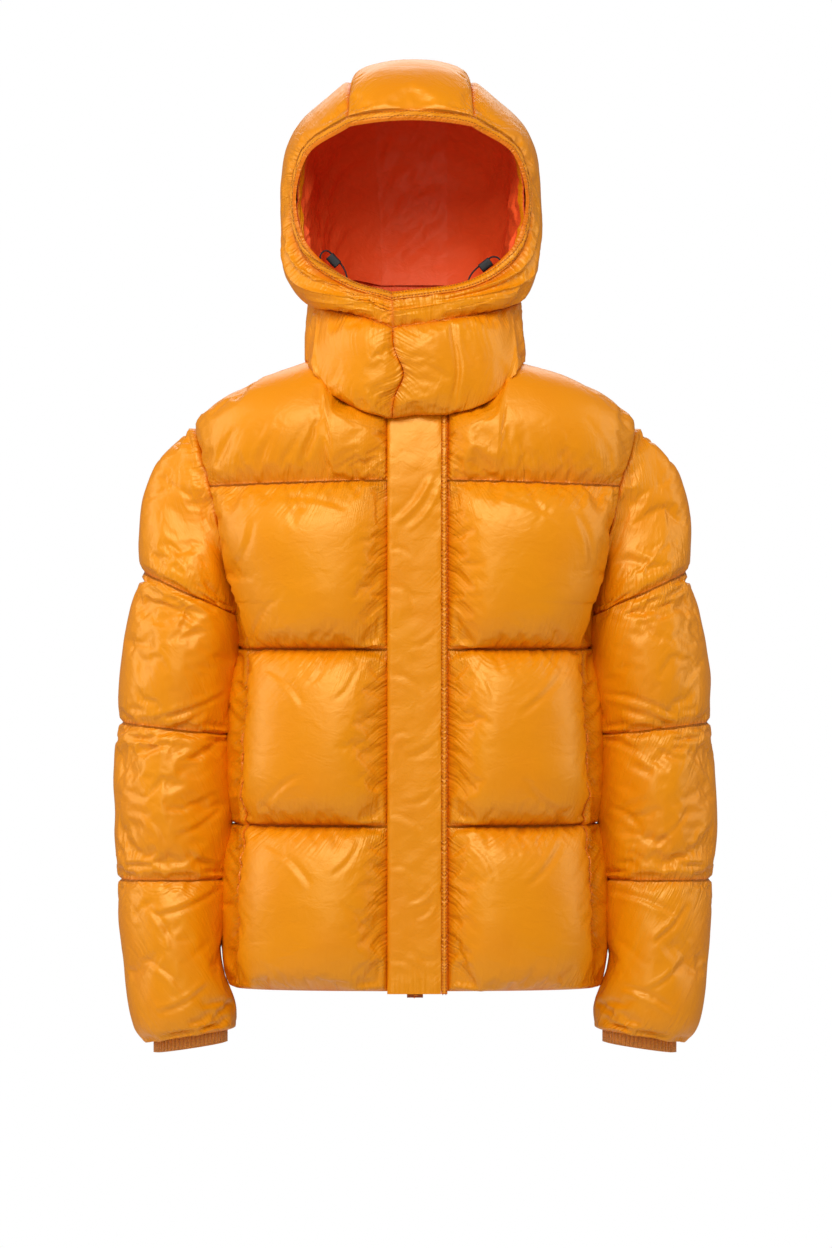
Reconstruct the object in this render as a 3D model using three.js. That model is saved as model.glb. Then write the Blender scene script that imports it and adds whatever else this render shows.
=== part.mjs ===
// A hooded puffer jacket as it hangs on its wearer, empty, in millimetres.
// +X is the wearer's left, the front faces -Y and +Z is up. The origin is on the centre plane,
// level with the shoulder points, midway over the shoulders, where the jacket is held up.

import * as THREE from 'three';

// Driving sizes

const SEAM_GAP = 0.3; // between pieces that are sewn together
const SHELL_OUT = 1.8; // outer face of a wall at its seams, from the pattern surface
const SHELL_IN = 1.0; // inner face, from the pattern surface

const HEM = -645;
const CHEST = -150; // below this height the rings are level
const ARMPIT = -220;
const SIDE_TOP = -195; // where the side seams meet the armholes
const APEX = 76; // shoulder ridge, carried on to the centre plane
const SHOULDER_SLOPE = 0.46;
const PLAN_POWER = 2.5;
const SHOULDER_POWER = 2.3;

const QUILT = { waist: -465, chest: -273, yoke: -89 };

// Half-width of the body's plan at each height of the centre line
const WIDTHS = [
  { height: -645, half: 196 },
  { height: -465, half: 194 },
  { height: -273, half: 189 },
  { height: -220, half: 192 },
  { height: -205, half: 197.5 },
  { height: -181, half: 206 },
  { height: -143, half: 226 },
  { height: -93, half: 238 },
  { height: -58, half: 242 },
  { height: 8, half: 244 },
  { height: 76, half: 244 },
];

const DEPTHS = [
  { height: -645, front: 118, back: 115 },
  { height: -465, front: 122, back: 112 },
  { height: -273, front: 125, back: 118 },
  { height: -150, front: 126, back: 122 },
  { height: 76, front: 126, back: 122 },
];

// Edge of the fronts and back: the side seam up to SIDE_TOP, then the armhole
const EDGES = [
  { height: -645, across: 189 },
  { height: -465, across: 185.5 },
  { height: -273, across: 179.5 },
  { height: -225, across: 187 },
  { height: -195, across: 197.3 },
  { height: -181, across: 201 },
  { height: -143, across: 212 },
  { height: -93, across: 222 },
  { height: -58, across: 229 },
  { height: 8, across: 236 },
  { height: 76, across: 240 },
];

const NECK = { half: 95, power: 2.2, front: 0.664, back: 0.84 };

const BAFFLE = {
  frontAcross: 2.4, // how far the fullness reaches to the side edges, in front and at the back
  backAcross: 4,
  frontPuff: 38,
  frontYokePuff: 30,
  backPuff: 35,
  backYokePuff: 26,
  sidePuff: 10,
  sideHemPuff: 12,
  sideTopPuff: 2,
  yokeFlat: 0.6, // share of its fullness that the yoke loses towards the shoulder
  ridge: 0.18, // share of the yoke's puff left on the shoulder seam
};

const ZIP_HALF = 9;
const ZIP = { thickness: 1.3, below: 7 };
const PLACKET = { right: -30, left: 28, thickness: 3.2, below: 3 };
const BAND = { right: 28.3, left: 35, thickness: 3.8 };
const PUFF_START = { right: 30.5, left: 36 };

const WELT = { width: 8, thickness: 2, top: -369, bottom: -537, nearRow: 5, from: 0.04, to: 0.93 };

// Rings of a sleeve, from its upper seam (1) to its end (4): centre, half-sizes and lean
const SLEEVE_RINGS = [
  { seam: 1, z: -214, x: 245, across: 48, y: 0, deep: 60, lean: 0.5 },
  { seam: 1.5, z: -285, x: 254.5, across: 52.5, y: 1, deep: 60, lean: 0.22 },
  { seam: 2, z: -361, x: 262, across: 54.5, y: 2, deep: 57, lean: 0.12 },
  { seam: 2.5, z: -443, x: 263.5, across: 54.5, y: 1, deep: 56, lean: 0.04 },
  { seam: 3, z: -526, x: 265.5, across: 52.5, y: -2, deep: 53, lean: 0 },
  { seam: 3.5, z: -610, x: 262, across: 47.5, y: -6, deep: 51, lean: -0.08 },
  { seam: 3.85, z: -672, x: 253, across: 50, y: -10, deep: 50, lean: -0.14 },
  { seam: 4, z: -697, x: 246.5, across: 43, y: -12, deep: 43, lean: -0.15 },
];
const SLEEVE = {
  power: 2.2,
  end: 4,
  facePuff: 14,
  outerPuff: 6,
  innerPuff: 2.3,
  capPuff: 11,
  capFull: 120, // length of the cap from which it has its whole puff
  folded: 0.6, // share of its thickness that the cap loses under the arm
};

// The cap's bend over from the armhole to the first ring
const CAP = { turn: 0.4, outwards: 0.5, last: 1.15, firstReach: 0.4, firstMore: 2, lastReach: 0.35 };

// How the armhole's points are told apart and spread round the sleeve
const ARMHOLE = { low: -150, lowOver: 70, middle: -125, evenly: 0.6 };

const CUFF = {
  ribs: 56,
  perInner: 4, // points of the outer face for each point of the plain inner one
  ribHeight: 1.4,
  wall: 1.6,
  clear: 1.45,
  top: -684,
  bottom: -711,
  turn: 1.2,
};

// Seam between the hood and its neck piece: an oval, lower in front
const NECK_SEAM = { across: 114, front: 130, back: 97, low: 75, rise: 46, bend: 0.95, risePower: 0.9 };
const NECK_PUFF = { front: 20, side: 3.5 };
const NECK_FOOT = { half: 108, front: 0.566, back: 0.73, clear: 2.4 };
const OVER_FLAP = { lift: 4.6, full: 36, none: 54 }; // the foot rides higher over the wind flap
// Where the neck's left half laps over the right one
const CLOSURE = { across: -24, wave: 12, waveAt: 0.5, waveHalf: 0.2, fade: 42 };
const NECK_LAP = { thickness: 3.2, columns: 2, from: 0.06, to: 0.94, fullness: 0.3, tilt: 0.25 };
const COLLAR = { thickness: 2.5, top: 0.9, clear: 2.9, foot: 1.3, footInside: 3 };

// Lines of a hood side panel, each from the neck seam up, over and forward to the hood's edge.
// 'around' is the angle of its foot on the neck seam.
const HOOD_LINES = [
  {
    u: 0, around: 0,
    low: [0, -132, 81], mid: [0, -134, 88], high: [0, -135, 94],
    top: [0, -135, 99], rim: [0, -134, 104],
  },
  {
    u: 0.25, around: 30,
    low: [64, -115, 98], mid: [69, -116, 105], high: [71, -116, 111],
    top: [71, -116, 116], rim: [70, -115, 120],
  },
  {
    u: 0.5, around: 62,
    low: [104, -63, 115], mid: [109, -72, 129], high: [113, -81, 142],
    top: [115, -88, 151], rim: [116, -93, 158],
  },
  {
    u: 0.72, around: 98,
    low: [110, 4, 145], mid: [115, -16, 172], high: [120, -40, 193],
    top: [125, -64, 207], rim: [128, -84, 216],
  },
  {
    u: 0.88, around: 130,
    low: [98, 68, 170], mid: [112, 50, 232], high: [114, 8, 276],
    top: [115, -48, 284], rim: [114, -98, 271],
  },
  {
    u: 1, around: 156,
    low: [54, 112, 195], mid: [60, 92, 296], high: [63, 20, 345],
    top: [65, -58, 337], rim: [68, -116, 302],
  },
];
const HOOD = {
  puff: 20,
  lean: 4.5, // how far the hood stands over to the wearer's right
  centrePuff: 15,
  centreArch: 8,
  middle: [0, -15, 215],
  bandAt: 0.8, // the seam that runs beside the edge, as a share of the panel
  bandDepth: 0.45,
  bandHalf: 0.06,
  bandFade: [0.5, 0.8],
  lowUpTo: 0.45, // the panel is flatter from its front end up to here
  lowShare: 0.22,
  leanFrom: 85,
  leanTo: 150,
};
const RIM = { width: 10, curl: 3.5, thickness: 2.6, behind: 0.96 };
const LINING = { thickness: 1.2, slack: 7, fold: 2.6, folds: 9 };

const LOCK = { length: 14, width: 10.5, depth: 8, corner: 3.4, bore: 2.9, boreOff: 3.2 };
const CORD = { diameter: 1.9, sides: 8, step: 1.6 };

// The elastic's two ends: each leaves the hood's edge, passes its lock and goes back in
const CORD_ENDS = [
  {
    name: 'right',
    side: -1,
    lockFrom: [-91.7, -92, 157.4],
    lockTo: [-80.7, -92, 145.6],
    route: [
      [-102.9, -99.2, 151.2], [-103, -97.2, 153.9], [-101.8, -95.2, 156.9], [-99.2, -93.8, 159.2],
      [-96, -92.9, 159.9], [-93.2, -92.3, 158.7], [-91.4, -92, 157], [-88.8, -92, 154.2],
      [-86.2, -92, 151.5], [-83.5, -92, 148.6], [-80.9, -92, 145.8], [-78.6, -92.2, 142.6],
      [-76.6, -92.8, 138.9], [-75.1, -93.8, 134.9], [-74.2, -95.2, 130.8], [-73.7, -97, 126.4],
      [-73.6, -99.8, 121.2], [-73.7, -103.2, 116.1],
    ],
  },
  {
    name: 'left',
    side: 1,
    lockFrom: [81.2, -92, 151.8],
    lockTo: [68.8, -92, 142.2],
    route: [
      [92.35, -99.6, 150.15], [90.4, -97.5, 151.9], [88, -95.5, 153], [85.4, -93.8, 153.4],
      [83, -92.6, 152.9], [80.8, -92.1, 151.5], [78, -92, 149.3], [75, -92, 147],
      [72, -92, 144.7], [69, -92, 142.4], [66, -92.3, 139.8], [63, -93, 136.6],
      [60.5, -94, 133], [58.6, -95.6, 129], [57.3, -97.6, 124.9], [56.6, -99.8, 120.9],
      [56.3, -102.6, 116.6], [56.1, -105.4, 112.6], [56, -108, 108.8],
    ],
  },
];

// Small helpers

const { PI, abs, sin, cos, asin, atan2, exp, floor, max, min, sign } = Math;
const rad = (degrees) => (degrees * PI) / 180;
const lerp = THREE.MathUtils.lerp;
const clamp = THREE.MathUtils.clamp;
const vec = (x, y, z) => new THREE.Vector3(x, y, z);
const power = (value, exponent) => sign(value) * abs(value) ** exponent;

// A smooth curve through the rows of a table, one value for each column name
function curveOf(rows, key, column) {
  const at = rows.map((row) => row[key]);
  const value = rows.map((row) => row[column]);
  const last = rows.length - 1;
  const slope = value.map((v, i) => {
    const before = max(0, i - 1);
    const after = min(last, i + 1);
    return (value[after] - value[before]) / (at[after] - at[before]);
  });
  return (where) => {
    const x = clamp(where, at[0], at[last]);
    let i = 0;
    while (i < last - 1 && x > at[i + 1]) i += 1;
    const span = at[i + 1] - at[i];
    const t = (x - at[i]) / span;
    const t2 = t * t;
    const t3 = t2 * t;
    return (
      (2 * t3 - 3 * t2 + 1) * value[i] +
      (t3 - 2 * t2 + t) * span * slope[i] +
      (3 * t2 - 2 * t3) * value[i + 1] +
      (t3 - t2) * span * slope[i + 1]
    );
  };
}

// The same through a list of points, spaced by the given parameters
function pathOf(parameters, points) {
  const rows = parameters.map((at, i) => ({ at, x: points[i].x, y: points[i].y, z: points[i].z }));
  const [x, y, z] = ['x', 'y', 'z'].map((axis) => curveOf(rows, 'at', axis));
  return (t) => vec(x(t), y(t), z(t));
}

// A padded channel between two seams: full in the middle, steep at the stitching
function dome(t, fullness = 2.4, steepness = 1.7) {
  return (1 - min(1, abs(2 * t - 1)) ** fullness) ** (1 / steepness);
}

const smoothstep = (low, high, value) => THREE.MathUtils.smoothstep(value, low, high);

// A closed wall between an outer and an inner grid of points
function wall(outer, inner, around = false) {
  const rows = outer.length;
  const columns = outer[0].length;
  const points = [...outer.flat(), ...inner.flat()];
  const face = [];
  const at = (side, row, column) => side * rows * columns + row * columns + (column % columns);
  const quad = (a, b, c, d) => {
    const short = points[a].distanceTo(points[c]) <= points[b].distanceTo(points[d]);
    if (short) face.push([a, b, c], [a, c, d]);
    else face.push([a, b, d], [b, c, d]);
  };
  const spans = around ? columns : columns - 1;
  for (let r = 0; r < rows - 1; r += 1) {
    for (let c = 0; c < spans; c += 1) {
      quad(at(0, r, c), at(0, r, c + 1), at(0, r + 1, c + 1), at(0, r + 1, c));
      quad(at(1, r, c), at(1, r + 1, c), at(1, r + 1, c + 1), at(1, r, c + 1));
    }
  }
  for (let c = 0; c < spans; c += 1) {
    quad(at(0, 0, c), at(1, 0, c), at(1, 0, c + 1), at(0, 0, c + 1));
    quad(at(0, rows - 1, c), at(0, rows - 1, c + 1), at(1, rows - 1, c + 1), at(1, rows - 1, c));
  }
  if (!around) {
    for (let r = 0; r < rows - 1; r += 1) {
      const end = columns - 1;
      quad(at(0, r, 0), at(0, r + 1, 0), at(1, r + 1, 0), at(1, r, 0));
      quad(at(0, r, end), at(1, r, end), at(1, r + 1, end), at(0, r + 1, end));
    }
  }
  return solidOf(points, face);
}

// A geometry from points and triangles, turned so that its faces point out
function solidOf(points, triangles) {
  let volume = 0;
  for (const [a, b, c] of triangles) {
    volume += points[a].dot(vec(0, 0, 0).crossVectors(points[b], points[c]));
  }
  const order = volume < 0 ? ([a, b, c]) => [a, c, b] : (t) => t;
  const geometry = new THREE.BufferGeometry();
  const positions = points.flatMap((p) => [p.x, p.y, p.z]);
  geometry.setAttribute('position', new THREE.Float32BufferAttribute(positions, 3));
  geometry.setIndex(triangles.flatMap(order));
  geometry.computeVertexNormals();
  return geometry;
}

// Cells of a sheet: {base, normal, out, in}. Row 0 is its low edge, and each sewn edge is drawn back
// by half the seam gap.
function sheetWall(cells, { around = false, sewn = ['low', 'high', 'first', 'last'] } = {}) {
  const rows = cells.length;
  const columns = cells[0].length;
  const shift = cells.map((row) => row.map(() => vec(0, 0, 0)));
  const pull = (r, c, toR, toC) => {
    const step = cells[toR][toC].base.clone().sub(cells[r][c].base).setLength(SEAM_GAP / 2);
    shift[r][c].add(step);
  };
  for (let c = 0; c < columns; c += 1) {
    if (sewn.includes('low')) pull(0, c, 1, c);
    if (sewn.includes('high')) pull(rows - 1, c, rows - 2, c);
  }
  if (!around) {
    for (let r = 0; r < rows; r += 1) {
      if (sewn.includes('first')) pull(r, 0, r, 1);
      if (sewn.includes('last')) pull(r, columns - 1, r, columns - 2);
    }
  }
  const place = (r, c, away) =>
    cells[r][c].base.clone().addScaledVector(cells[r][c].normal, away).add(shift[r][c]);
  const outer = cells.map((row, r) => row.map((cell, c) => place(r, c, cell.out)));
  const inner = cells.map((row, r) => row.map((cell, c) => place(r, c, -cell.in)));
  return wall(outer, inner, around);
}

// One material for each cloth
const materials = {
  nylon: new THREE.MeshStandardMaterial({ color: 0xf0930f, roughness: 0.38, metalness: 0 }),
  lining: new THREE.MeshStandardMaterial({ color: 0xe8552a, roughness: 0.5, metalness: 0 }),
  knit: new THREE.MeshStandardMaterial({ color: 0xe8820f, roughness: 0.85, metalness: 0 }),
  black: new THREE.MeshStandardMaterial({ color: 0x1b1a1c, roughness: 0.45, metalness: 0 }),
};

const jacket = new THREE.Group();

function add(name, geometry, material) {
  const mesh = new THREE.Mesh(geometry, material);
  mesh.name = name;
  jacket.add(mesh);
  return mesh;
}

// The body's pattern surface

const bodyWidth = curveOf(WIDTHS, 'height', 'half');
const bodyFront = curveOf(DEPTHS, 'height', 'front');
const bodyBack = curveOf(DEPTHS, 'height', 'back');
const bodyEdge = curveOf(EDGES, 'height', 'across');

// A level runs 0 at the hem, 1 at CHEST and 2 on the shoulder ridge
function levelOfHeight(height) {
  if (height <= CHEST) return (height - HEM) / (CHEST - HEM);
  const rise = clamp((height - CHEST) / (APEX - CHEST), 0, 1);
  return 1 + asin(rise ** (SHOULDER_POWER / 2)) / (PI / 2);
}

function ring(level) {
  if (level <= 1) return { height: lerp(HEM, CHEST, level), closing: 1, rise: 0 };
  const turn = (level - 1) * (PI / 2);
  const rise = sin(turn) ** (2 / SHOULDER_POWER);
  const closing = max(0, cos(turn)) ** (2 / SHOULDER_POWER);
  return { height: lerp(CHEST, APEX, rise), closing, rise };
}

// angle: 0 at the centre front, 90 degrees at the wearer's left, 180 at the centre back
function bodyPoint(angle, level) {
  const { height, closing, rise } = ring(level);
  const x = bodyWidth(height) * power(sin(angle), 2 / PLAN_POWER);
  const depth = cos(angle) > 0 ? bodyFront(height) : bodyBack(height);
  const y = -depth * closing * power(cos(angle), 2 / PLAN_POWER);
  return vec(x, y, height - SHOULDER_SLOPE * abs(x) * rise ** 2.2);
}

function angleAt(x, level, face) {
  const half = bodyWidth(ring(level).height);
  const angle = asin(clamp(abs(x) / half, 0, 1) ** (PLAN_POWER / 2)) * (x < 0 ? -1 : 1);
  return face < 0 ? angle : PI - angle;
}

function bodyNormal(angle, level) {
  const step = 1e-3;
  const along = bodyPoint(angle + step, level).sub(bodyPoint(angle - step, level));
  const up = bodyPoint(angle, min(2, level + step)).sub(bodyPoint(angle, level - step));
  const normal = along.cross(up).normalize();
  const point = bodyPoint(angle, level);
  const outward = vec(point.x, point.y, point.z - min(point.z, CHEST));
  return normal.dot(outward) < 0 ? normal.negate() : normal;
}

// Level at which a line of the pattern meets the neckline or the shoulder ridge
function topLevel(x, face) {
  if (abs(x) >= NECK.half) return 2;
  const low = face < 0 ? NECK.front : NECK.back;
  const rise = 1 - (1 - low) * (1 - (abs(x) / NECK.half) ** NECK.power) ** (1 / NECK.power);
  return levelOfHeight(lerp(CHEST, APEX, rise));
}

// Thickness of the padding over the body's pattern surface
function bodyPuff(x, level, face) {
  const height = ring(level).height;
  const edge = bodyEdge(height);
  const start = face > 0 ? -edge : x < 0 ? PUFF_START.right : PUFF_START.left;
  const across = face > 0 ? (x + edge) / (2 * edge) : (abs(x) - start) / (edge - start);
  if (across <= 0 || across >= 1) return 0;
  const acrossShape = dome(across, face < 0 ? BAFFLE.frontAcross : BAFFLE.backAcross);
  const { waist, chest, yoke } = QUILT;
  const yokeLevel = levelOfHeight(yoke);
  if (level > yokeLevel) {
    const top = topLevel(x, face);
    const shoulder = smoothstep(NECK.half - 30, NECK.half + 30, abs(x)) * BAFFLE.ridge;
    const t = clamp((level - yokeLevel) / (top - yokeLevel), 0, 1);
    const deep = face < 0 ? BAFFLE.frontYokePuff : BAFFLE.backYokePuff;
    const flatter = 1 - BAFFLE.yokeFlat * smoothstep(0.45, 1, t);
    const rowShape = t < 0.5 ? dome(t) : max(dome(t) * flatter, shoulder);
    return deep * rowShape * acrossShape;
  }
  const [low, high] = height < waist ? [HEM, waist] : height < chest ? [waist, chest] : [chest, yoke];
  const deep = face < 0 ? BAFFLE.frontPuff : BAFFLE.backPuff;
  return deep * dome((height - low) / (high - low)) * acrossShape;
}

function bodyCell(x, level, face, extra = 0) {
  const angle = angleAt(x, level, face);
  return {
    base: bodyPoint(angle, level),
    normal: bodyNormal(angle, level),
    out: SHELL_OUT + bodyPuff(x, level, face) + extra,
    in: SHELL_IN,
  };
}

// Rows of each baffle, from its lower seam (0) to its upper seam (1)
const ROWS = {
  hem: [0, 0.07, 0.3, 0.6, 0.8, 0.93],
  waist: [0, 0.07, 0.28, 0.5, 0.72, 0.93],
  chest: [0, 0.07, 0.28, (SIDE_TOP - QUILT.chest) / (QUILT.yoke - QUILT.chest), 0.7, 0.93],
  yoke: [0, 0.07, 0.28, 0.5, 0.72, 0.9, 1],
};

function levelsUpTo(top) {
  const { waist, chest, yoke } = QUILT;
  const between = (low, high, rows) => rows.map((t) => levelOfHeight(lerp(low, high, t)));
  const start = levelOfHeight(yoke);
  return [
    ...between(HEM, waist, ROWS.hem),
    ...between(waist, chest, ROWS.waist),
    ...between(chest, yoke, ROWS.chest),
    ...ROWS.yoke.map((t) => lerp(start, top, t)),
  ];
}

function transpose(columns) {
  return columns[0].map((_, r) => columns.map((column) => column[r]));
}

// Fronts: one narrow strip beside the zip, then the padded width out to the side seam or armhole
function frontCells(side) {
  const start = side < 0 ? PUFF_START.right : PUFF_START.left;
  const shoulder = bodyEdge(APEX);
  const neckShare = (NECK.half - start) / (shoulder - start);
  const shares = [0, 0.1, 0.2, neckShare, 0.48, 0.68, 0.86];
  const column = (shareOrNull, inset = 0) => {
    const across = (level) => {
      if (shareOrNull === null) return ZIP_HALF;
      return start + shareOrNull * (bodyEdge(ring(level).height) - start) - inset;
    };
    const top = topLevel(min(across(2), across(1.6)), -1);
    return levelsUpTo(shareOrNull !== null && shareOrNull >= neckShare ? 2 : top).map((level) =>
      bodyCell(side * across(level), level, -1),
    );
  };
  const padded = shares.map((share) => column(share));
  return transpose([column(null), ...padded, column(1, WELT.width), column(1)]);
}

const fronts = { right: frontCells(-1), left: frontCells(1) };
add('front_right', sheetWall(fronts.right, { sewn: ['high', 'first', 'last'] }), materials.nylon);
add('front_left', sheetWall(fronts.left, { sewn: ['high', 'first', 'last'] }), materials.nylon);

// Back: the same rows over the full width
const neckOnBack = NECK.half / bodyEdge(APEX);
const backShares = [0, neckOnBack / 2, neckOnBack, 0.6, 0.8, 0.93, 1];
const backLine = [...backShares.slice(1).reverse().map((share) => -share), ...backShares];
const backCells = transpose(
  backLine.map((share) => {
    const neck = abs(share) < neckOnBack - 1e-6;
    const top = neck ? topLevel(abs(share) * bodyEdge(APEX), 1) : 2;
    return levelsUpTo(top).map((level) => bodyCell(share * bodyEdge(ring(level).height), level, 1));
  }),
);
add('back', sheetWall(backCells, { sewn: ['high', 'first', 'last'] }), materials.nylon);

// Side panels, between the side seams and under the armhole
const SIDE_COLUMNS = [-1, -0.6, -0.2, 0.2, 0.6, 1];

function sideCell(side, column, level, deep, t) {
  const edge = bodyEdge(ring(level).height);
  const frontAngle = angleAt(edge, level, -1);
  const backAngle = angleAt(edge, level, 1);
  const half = column < 0 ? PI / 2 - frontAngle : backAngle - PI / 2;
  const angle = PI / 2 + column * half;
  const cell = {
    base: bodyPoint(angle, level),
    normal: bodyNormal(angle, level),
    out: SHELL_OUT + deep * dome(t) * dome((column + 1) / 2, 3, 2),
    in: SHELL_IN,
  };
  cell.base.x *= side;
  cell.normal.x *= side;
  return cell;
}

function sideTopLevel(column) {
  return levelOfHeight(lerp(ARMPIT, SIDE_TOP, column * column));
}

function sideCells(side) {
  const { waist, chest, yoke } = QUILT;
  const topRows = ROWS.chest.slice(0, 4).map((t) => lerp(chest, yoke, t));
  return transpose(
    SIDE_COLUMNS.map((column) => {
      const cells = [];
      for (const t of ROWS.hem) {
        cells.push(sideCell(side, column, levelOfHeight(lerp(HEM, waist, t)), BAFFLE.sideHemPuff, t));
      }
      for (const t of ROWS.waist) {
        cells.push(sideCell(side, column, levelOfHeight(lerp(waist, chest, t)), BAFFLE.sidePuff, t));
      }
      const top = sideTopLevel(column);
      const bottom = levelOfHeight(chest);
      for (const height of topRows) {
        const t = (height - chest) / (SIDE_TOP - chest);
        cells.push(sideCell(side, column, lerp(bottom, top, t), BAFFLE.sideTopPuff, t));
      }
      return cells;
    }),
  );
}

add('side_right', sheetWall(sideCells(-1), { sewn: ['high', 'first', 'last'] }), materials.nylon);
add('side_left', sheetWall(sideCells(1), { sewn: ['high', 'first', 'last'] }), materials.nylon);

// Everything on the wearer's right is made like the left and turned over the centre plane
const flip = (point, side) => vec(point.x * side, point.y, point.z);

// Armholes: the seam line from the shoulder point down the front, under the arm and up the back

function armholeSeam() {
  const { chest, yoke } = QUILT;
  const yokeLevel = levelOfHeight(yoke);
  const rising = [
    ...ROWS.chest.slice(3).map((t) => levelOfHeight(lerp(chest, yoke, t))),
    ...ROWS.yoke.map((t) => lerp(yokeLevel, 2, t)),
  ];
  const onBody = (level, face) => {
    const cell = bodyCell(bodyEdge(ring(level).height), level, face);
    return { point: cell.base, normal: cell.normal };
  };
  const underArm = SIDE_COLUMNS.slice(1, -1).map((column) => {
    const cell = sideCell(1, column, sideTopLevel(column), 0, 0);
    return { point: cell.base, normal: cell.normal };
  });
  const front = rising.map((level) => onBody(level, -1)).reverse();
  const back = rising.slice(0, -1).map((level) => onBody(level, 1));
  const seam = [...front, ...underArm, ...back];
  seam.forEach((vertex, i) => {
    const before = seam[(i + seam.length - 1) % seam.length].point;
    const after = seam[(i + 1) % seam.length].point;
    const along = after.clone().sub(before);
    const leaving = along.cross(vertex.normal).normalize();
    vertex.leaving = leaving.x < 0 ? leaving.negate() : leaving;
    vertex.low = clamp((ARMHOLE.low - vertex.point.z) / ARMHOLE.lowOver, 0, 1);
    const seen = (atan2(-vertex.point.y, vertex.point.z - ARMHOLE.middle) + 2 * PI) % (2 * PI);
    vertex.around = i === 0 ? 0 : lerp(seen, (2 * PI * i) / seam.length, ARMHOLE.evenly);
  });
  return seam;
}

const sleeveRing = Object.fromEntries(
  ['z', 'x', 'across', 'y', 'deep', 'lean'].map((name) => [name, curveOf(SLEEVE_RINGS, 'seam', name)]),
);

function sleeveRingPoint(around, seam) {
  const across = sleeveRing.across(seam) * power(cos(around), 2 / SLEEVE.power);
  const deep = -sleeveRing.deep(seam) * power(sin(around), 2 / SLEEVE.power);
  return vec(
    sleeveRing.x(seam) + across,
    sleeveRing.y(seam) + deep,
    sleeveRing.z(seam) + across * sleeveRing.lean(seam),
  );
}

// seam 0 is the armhole; up to 1 the cap bends over from it to the first ring
function sleevePoint(vertex, seam) {
  if (seam >= 1) return sleeveRingPoint(vertex.around, seam);
  const start = vertex.point.clone().addScaledVector(vertex.leaving, SEAM_GAP);
  const end = sleeveRingPoint(vertex.around, 1);
  const chord = end.clone().sub(start);
  const reach = chord.length();
  const heading = chord.clone().normalize();
  const first = vertex.leaving.clone().lerp(heading, CAP.turn * (1 - vertex.low));
  first.add(vec(CAP.outwards * vertex.low, 0, 0)).normalize();
  const last = sleeveRingPoint(vertex.around, CAP.last).sub(end).normalize();
  const curve = new THREE.CubicBezierCurve3(
    start,
    start.clone().addScaledVector(first, CAP.firstReach * reach + CAP.firstMore),
    end.clone().addScaledVector(last, -CAP.lastReach * reach),
    end,
  );
  return curve.getPoint(seam);
}

const SLEEVE_ROWS = [0, 0.08, 0.3, 0.55, 0.8, 0.95];

function sleeveCells(side) {
  const seam = armholeSeam();
  const seams = [0, 1, 2, 3].flatMap((first) => SLEEVE_ROWS.map((t) => first + t)).concat(SLEEVE.end);
  const grid = seams.map((s) => seam.map((vertex) => sleevePoint(vertex, s)));
  const count = seam.length;
  const capRows = SLEEVE_ROWS.length;
  const cells = grid.map((row, r) =>
    row.map((base, c) => {
      const s = seams[r];
      const vertex = seam[c];
      let normal = vertex.normal.clone();
      if (r > 0) {
        const along = grid[min(r + 1, grid.length - 1)][c].clone().sub(grid[r - 1][c]);
        const around = row[(c + 1) % count].clone().sub(row[(c + count - 1) % count]);
        normal = along.cross(around).normalize();
        const middle = vec(sleeveRing.x(max(1, s)), sleeveRing.y(max(1, s)), base.z);
        const outward = s >= 1 ? base.clone().sub(middle) : null;
        if (outward && normal.dot(outward) < 0) normal.negate();
      }
      const t = s - floor(s);
      const facing = 0.5 + 0.5 * cos(vertex.around);
      const share = smoothstep(0.02, 0.5, facing);
      const beside = lerp(SLEEVE.facePuff, SLEEVE.outerPuff, max(0, cos(vertex.around)) ** 2);
      const full = s < 1 ? SLEEVE.capPuff : beside;
      const capLength = grid[0][c].distanceTo(grid[capRows][c]);
      const reach = s < 1 ? clamp(capLength / SLEEVE.capFull, 0.1, 1) : 1;
      const puff = lerp(SLEEVE.innerPuff, full, share) * dome(t) * reach;
      const folded = s < 1 ? 1 - SLEEVE.folded * vertex.low : 1;
      return { base, normal, out: (SHELL_OUT + puff) * folded, in: SHELL_IN };
    }),
  );
  for (let r = 1; r <= capRows; r += 1) {
    for (let c = 0; c < count; c += 1) {
      if (cells[r][c].normal.dot(cells[r - 1][c].normal) < 0) cells[r][c].normal.negate();
    }
  }
  for (const row of cells) {
    for (const cell of row) {
      cell.base = flip(cell.base, side);
      cell.normal = flip(cell.normal, side);
    }
  }
  return cells;
}

add('sleeve_right', sheetWall(sleeveCells(-1), { around: true, sewn: [] }), materials.nylon);
add('sleeve_left', sheetWall(sleeveCells(1), { around: true, sewn: [] }), materials.nylon);

// Knitted cuffs: ribs on the outer face of a plain tube, its lower edge turned in

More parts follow.
